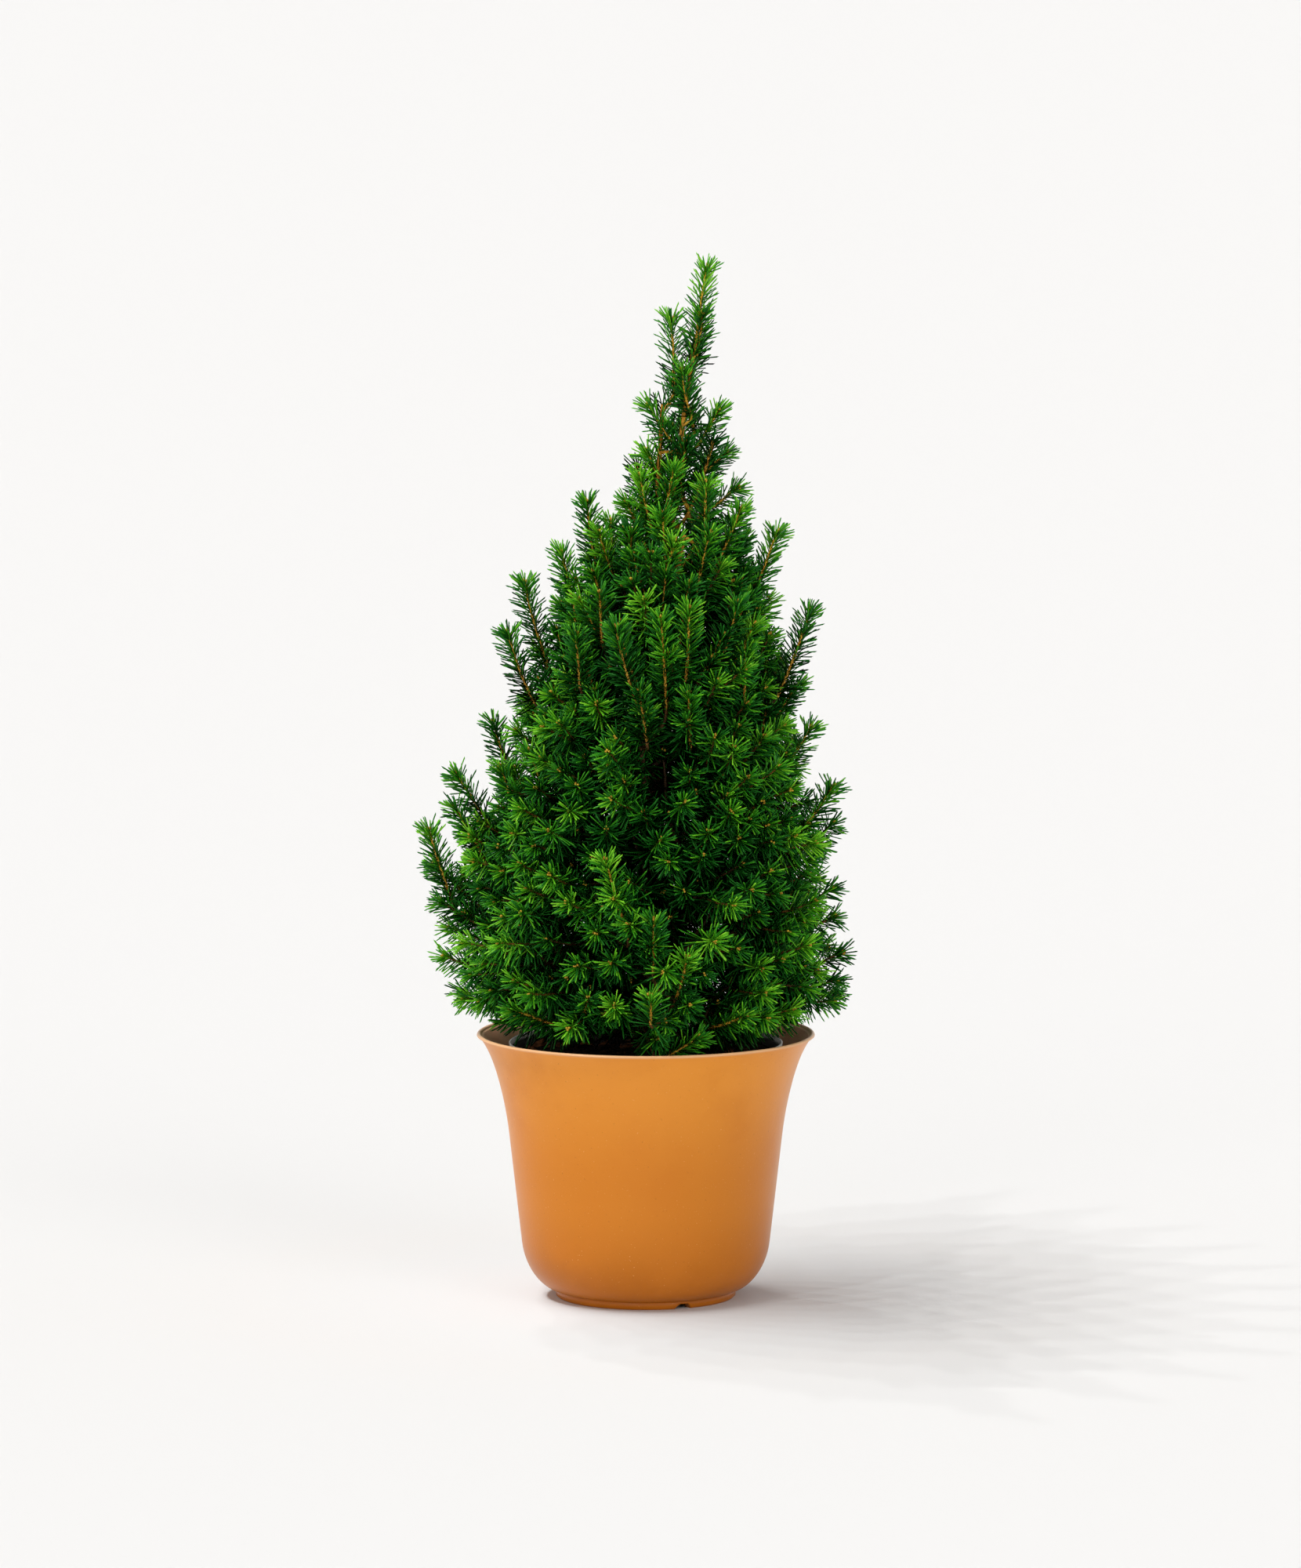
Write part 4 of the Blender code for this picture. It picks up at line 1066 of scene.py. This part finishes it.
def add_limb(shape, path, radii, sides, relief):
    """Adds one closed limb with bark relief to a bmesh."""
    side = (path[1] - path[0]).orthogonal().normalized()
    rings = []
    for index, (point, radius) in enumerate(zip(path, radii)):
        before, after = path[max(index - 1, 0)], path[min(index + 1, len(path) - 1)]
        along = (after - before).normalized()
        side = (side - along * side.dot(along)).normalized()
        over = along.cross(side)
        ring = []
        for corner in range(sides):
            angle = 2 * math.pi * corner / sides
            out = math.cos(angle) * side + math.sin(angle) * over
            spot = out * BARK_ROUND
            spot.z = out.z * BARK_ROUND + point.z * BARK_ALONG
            lump = noise.fractal(spot, 0.9, 2.1, 3)
            ring.append(shape.verts.new(point + out * radius * (1 + relief * lump)))
        rings.append(ring)
    for low, high in zip(rings, rings[1:]):
        for corner in range(sides):
            after = (corner + 1) % sides
            shape.faces.new((low[corner], low[after], high[after], high[corner]))
    shape.faces.new(rings[0][::-1])
    shape.faces.new(rings[-1])


def finer(path, steps):
    """The same line with more points."""
    points = [point for a, b in zip(path, path[1:]) for point in between(a, b, steps)]
    return points + [path[-1]]


# %% [markdown]
# The leader and the sprigs beside it are slimmer than the solids' taper would make them, so
# that their needles hide most of the wood.

# %% Build the limbs
LEADER_TAPER = ((0.30, 0.0060), (0.34, 0.0034), (0.37, 0.0018), (0.40, 0.0014), (0.462, 0.0009))
TRUNK_SIDES = 22
TRUNK_STEPS = 240
TRUNK_BELOW = 0.002
TRUNK_PAST = 0.001
TRUNK_RELIEF = 0.10
LIMB_SIDES = 10
BOUGH_RELIEF = 0.12
SPRIG_SHARE = 0.6
SPRIG_TIP_RADIUS = 0.0006
BOUGH_TIP_RADIUS = 0.0013
SECOND_RADII = (0.0014, 0.0009)

shape = bmesh.new()
heights = np.linspace(SOIL_TOP - TRUNK_BELOW, MAIN_STEM[-1] + TRUNK_PAST, TRUNK_STEPS)
radii = [min(trunk_radius(z), read_off(LEADER_TAPER, z)) for z in heights]
add_limb(shape, [spine(z) for z in heights], radii, TRUNK_SIDES, TRUNK_RELIEF)
for path, radius in boughs:
    line = finer(path, 2)
    sprig = line[-1].z > SPRIG_HEIGHT
    ends = (SPRIG_SHARE * radius, SPRIG_TIP_RADIUS) if sprig else (radius, BOUGH_TIP_RADIUS)
    add_limb(shape, line, np.linspace(*ends, len(line)), LIMB_SIDES, BOUGH_RELIEF)
line = finer(second_stem, 6)
add_limb(shape, line, np.linspace(*SECOND_RADII, len(line)), LIMB_SIDES, TRUNK_RELIEF)
bmesh.ops.recalc_face_normals(shape, faces=shape.faces)
limbs = object_of("limbs_with_bark", shape)


def bark():
    material, graph, shader = finish("young_bark", (0.20, 0.10, 0.04), 0.85, Specular_IOR_Level=0.15)
    flakes = noise_at(graph, place(graph, (1, 1, 0.35)), 700.0, 5.0, 0.6)
    cracks = ramp(graph, flakes, 0.35, 0.7)
    old_wood = blend(graph, cracks, (0.045, 0.021, 0.010), (0.20, 0.105, 0.045))
    new_wood = blend(graph, cracks, (0.34, 0.135, 0.016), (0.80, 0.40, 0.050))
    new = ramp(graph, height_of(graph, place(graph)), 0.29, 0.36)
    feed(shader, "Base Color", blend(graph, new, old_wood, new_wood))
    bump(graph, shader, flakes, 0.0006, 0.7)
    return material


limbs.data.materials.append(bark())
print("limbs:", len(limbs.data.polygons), "faces")

# %% [markdown]
# ## Twigs
#
# The twigs are lines already, so one tree sweeps a small round section along them, scaled by
# each point's girth. Young wood is ochre orange, older wood is browner, and both darken where
# little light falls. They are too slim for relief in the mesh, so bump alone gives their pegs.


# %% Sweep the twigs
def curves_of(graph, source):
    """The guide object's lines, as curves."""
    return graph.add("GeometryNodeMeshToCurve", {"Mesh": source.out("Geometry")})


def named(graph, name):
    return graph.add("GeometryNodeInputNamedAttribute", {"Name": name})


def twig_tree():
    graph, source = growing_tree("twigs", {"Sides": "Int"})
    inputs = {"Resolution": source.out("Sides"), "Radius": 1.0}
    section = graph.add("GeometryNodeCurvePrimitiveCircle", inputs)
    inputs = {"Curve": curves_of(graph, source), "Profile Curve": section, "Fill Caps": True}
    swept = graph.add("GeometryNodeCurveToMesh", inputs | {"Scale": named(graph, "girth")})
    return close_tree(graph, source, swept)


SHADED_WOOD = (0.030, 0.014, 0.004)


def twig_finish(name, dark, light, shaded=True):
    material, graph, shader = finish(name, light, 0.55, Specular_IOR_Level=0.2)
    where = place(graph)
    patch = noise_at(graph, where, 380.0, 4.0)
    wood = blend(graph, ramp(graph, patch, 0.35, 0.65), dark, light)
    if shaded:
        lit = graph.add("ShaderNodeAttribute", attribute_name="light").out("Fac")
        wood = blend(graph, lit, SHADED_WOOD, wood)
    feed(shader, "Base Color", wood)
    bump(graph, shader, noise_at(graph, where, 1500.0, 2.0), 0.0003, 0.6)
    return material


tree = twig_tree()
ochre = twig_finish("ochre_twig", (0.66, 0.300, 0.020), (0.95, 0.53, 0.060))
brown = twig_finish("brown_twig", (0.05, 0.021, 0.004), (0.24, 0.100, 0.016))
young_twigs = grow("young_twigs", young_lines, tree, {"Sides": 6, "Finish": ochre})
old_twigs = grow("old_twigs", old_lines, tree, {"Sides": 6, "Finish": brown})
for piece in (young_twigs, old_twigs):
    piece.data.shade_smooth()

# %% [markdown]
# ## Needles
#
# A needle is a slim, three-sided spine of seven faces, with a short point and a slight bend.
# One tree sets tens of thousands of them: it walks along every line at the line's own spacing,
# turns each needle a golden angle past the last one, and leans it away from the shoot. Colours
# are dealt out by spray: a needle's tone comes from its line, give or take a little, and each
# run of the tree keeps the needles of one tone and gives them one finish.

# %% One needle
NEEDLE_GIRTH = 0.00039
NEEDLE_SIZE = 0.0100
NEEDLE_RINGS = ((0.0, 0.80, 0.00), (0.90, 1.0, 0.05))
NEEDLE_TIP_BEND = 0.065


def needle_object():
    """A needle of unit length. Each ring has its height, its width and how far it is bent."""
    vertices, faces = [], [(0, 2, 1)]
    for height, width, bend in NEEDLE_RINGS:
        for corner in range(3):
            x, y, _ = around(2 * math.pi * corner / 3) * width
            vertices.append((x, y, height, bend))
    last = len(vertices)
    for low in range(0, last, 3):
        for corner in range(3):
            after = (corner + 1) % 3
            if low + 3 == last:
                faces.append((low + corner, low + after, last))
            else:
                faces.append((low + corner, low + after, low + 3 + after, low + 3 + corner))
    mesh = bpy.data.meshes.new("needle")
    slim = NEEDLE_GIRTH / NEEDLE_SIZE
    points = [(x * slim, y * slim + bend, height) for x, y, height, bend in vertices]
    mesh.from_pydata([*points, (0, NEEDLE_TIP_BEND, 1.0)], [], faces)
    mesh.shade_smooth()
    return new_object("needle", mesh)


needle = needle_object()
print("one needle:", len(needle.data.polygons), "faces")

# %% [markdown]
# A needle's turn is stored before the other tones' needles are taken away, because after that
# the points are numbered anew and a turn by number would no longer be the same.

# %% The needle tree
TURN_RANGE = (-0.35, 0.35)
TONE_RANGE = (-1.8, 1.1)
LONG_RANGE = (0.84, 1.10)
GIRTH_RANGE = (0.85, 1.15)


def needle_tree():
    inputs = {"Needle": "Object", "Girth": "Float", "Droop": "Float"}
    inputs |= {"Tone": "Float", "Tones": "Float", "Seed": "Int"}
    graph, source = growing_tree("needles", inputs)

    def chance(low, high, shift):
        inputs = {2: low, 3: high, "Seed": source.out("Seed") + shift}
        return graph.add("FunctionNodeRandomValue", inputs, out=1)

    inputs = {"Curve": curves_of(graph, source), "Length": named(graph, "gap")}
    points = graph.add("GeometryNodeCurveToPoints", inputs, mode="LENGTH")
    heading = points.out("Rotation")
    turn = graph.add("GeometryNodeInputIndex") * GOLDEN_ANGLE + chance(*TURN_RANGE, 1)
    inputs = {"Geometry": points, "Name": "turn", "Value": turn}
    points = graph.add("GeometryNodeStoreNamedAttribute", inputs)
    tone = named(graph, "tone") + chance(*TONE_RANGE, 2)
    tone = graph.add("ShaderNodeClamp", {0: tone, 1: 0.0, 2: source.out("Tones") - 1})
    inputs = {"Geometry": points, "Selection": abs(tone - source.out("Tone")) < 0.5}
    kept = graph.add("GeometryNodeSeparateGeometry", inputs, domain="POINT")
    lean = named(graph, "lean") + chance(-1.0, 1.0, 3) * named(graph, "scatter")
    inputs = {"X": lean, "Y": 0.0, "Z": named(graph, "turn")}
    angles = graph.add("ShaderNodeCombineXYZ", inputs)
    angles = graph.add("FunctionNodeEulerToRotation", {0: angles})
    inputs = {"Rotation": heading, "Rotate By": angles}
    aim = graph.add("FunctionNodeRotateRotation", inputs, rotation_space="LOCAL")
    inputs = {"Rotation": aim, "Factor": source.out("Droop"), "Vector": (0.0, 0.0, -1.0)}
    aim = graph.add("FunctionNodeAlignRotationToVector", inputs, axis="Z")
    long = named(graph, "long") * chance(*LONG_RANGE, 4)
    girth = source.out("Girth") * named(graph, "fat") * chance(*GIRTH_RANGE, 5)
    size = graph.add("ShaderNodeCombineXYZ", {"X": girth, "Y": girth, "Z": long})
    inputs = {"Points": kept, "Instance": model(graph, source, "Needle")}
    placed = graph.add("GeometryNodeInstanceOnPoints", inputs | {"Rotation": aim, "Scale": size})
    return close_tree(graph, source, placed)


# %% Tones and finishes of the needles
# The darkest tones, black and shade, are painted shade on needles deep in the crown.
TONES = (
    ("black", (0.0003, 0.0026, 0.0002), 0.00),
    ("shade", (0.0005, 0.0080, 0.0004), 0.01),
    ("deep", (0.0016, 0.0230, 0.0014), 0.03),
    ("leaf", (0.0042, 0.0660, 0.0042), 0.10),
    ("cool", (0.0130, 0.1460, 0.0120), 0.13),
    ("green", (0.0420, 0.2800, 0.0090), 0.15),
    ("bright", (0.1280, 0.4750, 0.0130), 0.16),
    ("fresh", (0.2400, 0.6500, 0.0280), 0.16),
)


def needle_finish(name, colour, gloss):
    """Waxy green. The colour is plain, and only the wax varies."""
    material, graph, shader = finish(name, colour, 0.45, Specular_IOR_Level=gloss)
    wax = noise_at(graph, place(graph), 160.0, 2.0)
    feed(shader, "Roughness", 0.30 + 0.16 * wax)
    return material


# %% Set the needles
DROOP = 0.09

tree = needle_tree()
values = {"Needle": needle, "Girth": NEEDLE_SIZE, "Droop": DROOP, "Seed": 5}
values["Tones"] = float(len(TONES))
needles = []
for tone, (name, colour, gloss) in enumerate(TONES):
    values |= {"Tone": float(tone), "Finish": needle_finish(f"needle_{name}", colour, gloss)}
    needles.append(grow(f"needles_{name}", needle_lines, tree, values))
print("needle faces:", sum(len(piece.data.polygons) for piece in needles))

# %% [markdown]
# ## Buds
#
# Next year's growth waits in small golden-brown buds at a shoot's tip. Seen end on, they are
# the bright points in the middle of each rosette of needles.


# %% Buds at the tips
BUD_SIZE = 0.00062
BUD_LONG = 1.5
BUD_RISE = 0.6


def bud_tree():
    graph, source = growing_tree("buds", {"Bud": "Object", "Size": "Float"})
    inputs = {"Start Size": 0, "End Size": 1}
    ends = graph.add("GeometryNodeCurveEndpointSelection", inputs)
    inputs = {"Vector": graph.add("GeometryNodeInputTangent")}
    aim = graph.add("FunctionNodeAlignRotationToVector", inputs, axis="Z")
    inputs = {"Points": curves_of(graph, source), "Selection": ends, "Rotation": aim}
    inputs |= {"Instance": model(graph, source, "Bud"), "Scale": source.out("Size")}
    return close_tree(graph, source, graph.add("GeometryNodeInstanceOnPoints", inputs))


shape = bmesh.new()
bmesh.ops.create_icosphere(shape, subdivisions=1, radius=1)
for v in shape.verts:
    v.co.z = v.co.z * BUD_LONG + BUD_RISE
bud = object_of("bud", shape)
gold = twig_finish("bud_scale", (0.32, 0.17, 0.012), (0.66, 0.42, 0.04), shaded=False)
buds = grow("buds", bud_lines, bud_tree(), {"Bud": bud, "Size": BUD_SIZE, "Finish": gold})
for helper in (bud, needle, young_lines, old_lines, needle_lines, bud_lines):
    bpy.data.objects.remove(helper)

# %% [markdown]
# ## Standing in for the solids
#
# Each finer piece rides on the one body and hides the solid that it stands for. All the
# foliage solids are replaced by the needles and twigs together.

# %% Ride and replace
masses = [f"foliage_{n:02d}" for n in range(1, 29)]
limb_nodes = ["trunk"] + [f"bough_{n:02d}" for n in range(1, 28)]
for piece, slot, nodes in (
    (pot, "pot", ["pot"]),
    (liner, "liner", ["liner"]),
    (soil, "soil", ["soil"]),
    (crumbs, "soil", []),
    (chips, "soil", []),
    (limbs, "bark", limb_nodes),
    (young_twigs, "bark", masses),
    (old_twigs, "bark", masses),
    (buds, "bark", []),
    *[(piece, "foliage", masses) for piece in needles],
):
    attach(piece, "root")
    if nodes:
        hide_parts(*nodes)
    print(piece.name, "rides for", len(nodes), "solids")

# %% [markdown]
# ## Studio
#
# The plant stands on a plain pale floor. World and floor are matched so that no horizon shows.

# %% Floor
FLOOR_COLOUR = (0.773, 0.765, 0.751)
NEAR_POT_COOLED_FLOOR = (0.747, 0.779, 0.789)
FLOOR_REACH = 60

shape = bmesh.new()
bmesh.ops.create_grid(shape, x_segments=1, y_segments=1, size=FLOOR_REACH)
floor = object_of("floor", shape, smooth=False)
material, graph, shader = finish("floor", FLOOR_COLOUR, 1.0, Specular_IOR_Level=0.0)
reach = graph.add("ShaderNodeVectorMath", {0: place(graph)}, "Value", operation="LENGTH")
# Painted light: near the pot the floor is painted a touch cooler, to cancel the orange light that the
# pot throws back onto it.
feed(shader, "Base Color", blend(graph, ramp(graph, reach, 0.07, 0.22), NEAR_POT_COOLED_FLOOR, FLOOR_COLOUR))
floor.data.materials.append(material)
print("floor:", FLOOR_REACH, "m each way")

# %% [markdown]
# The light comes from the left, from high up. One strong sun would throw a single dark shadow,
# so twelve weak suns stand in a fan, from behind round to the front. Their shadows overlap near
# the pot and part further out, which makes one long, soft shadow to the right. Two broad fills
# lift the shaded side. Each lamp is given by where its shadow falls, its height over the floor
# in degrees, its power and its width in degrees.

# %% World and lamps
HORIZON = (0.947, 0.938, 0.922)
OVERHEAD = (0.19, 0.19, 0.20)
SUN_COUNT = 12
SUN_FAN = (-66, 63)
SUN_LOWEST = 53.5
SUN_LIFT = 6.0
SUN_POWER = 3.0
SUN_WIDTH = 0.9
FILLS = ((70, 20, 0.25, 25), (125, 26, 0.40, 30))


def sun_height(degrees):
    """The suns in the middle of the fan stand a little higher than those at its ends."""
    return SUN_LOWEST + SUN_LIFT * math.cos(math.radians(degrees)) ** 2


world = bpy.data.worlds.new("studio")
bpy.context.scene.world = world
world.use_nodes = True
graph = Graph(world.node_tree)
height = height_of(graph, graph.add("ShaderNodeTexCoord"))
wall = blend(graph, ramp(graph, height, 0.12, 0.75), HORIZON, OVERHEAD)
graph.tree.links.new(wall.socket, world.node_tree.nodes["Background"].inputs["Color"])
fan = np.linspace(*SUN_FAN, SUN_COUNT)
lamps = [(turn, sun_height(turn), SUN_POWER / SUN_COUNT, SUN_WIDTH) for turn in fan]
for number, (degrees, height, power, width) in enumerate((*lamps, *FILLS)):
    lamp = bpy.data.lights.new(f"sun_{number}", "SUN")
    lamp.energy = power
    lamp.angle = math.radians(width)
    towards = Vector((0, 0, math.tan(math.radians(height)))) - around(math.radians(degrees))
    sun = new_object(f"sun_{number}", lamp)
    sun.rotation_euler = towards.to_track_quat("Z", "Y").to_euler()
print("lamps:", number + 1)

# %% Camera
AIM = Vector((0.0023, 0, 0.252))
DISTANCE = 4.0
PITCH = math.radians(6.3)
FOCAL_LENGTH = 188.6

lens = bpy.data.cameras.new("camera")
lens.lens = FOCAL_LENGTH
camera = new_object("camera", lens)
camera.location = AIM + Vector((0, -math.cos(PITCH), math.sin(PITCH))) * DISTANCE
camera.rotation_euler = (math.pi / 2 - PITCH, 0, 0)
bpy.context.scene.camera = camera
bpy.context.scene.view_settings.view_transform = "Standard"
print("camera:", DISTANCE, "m away")
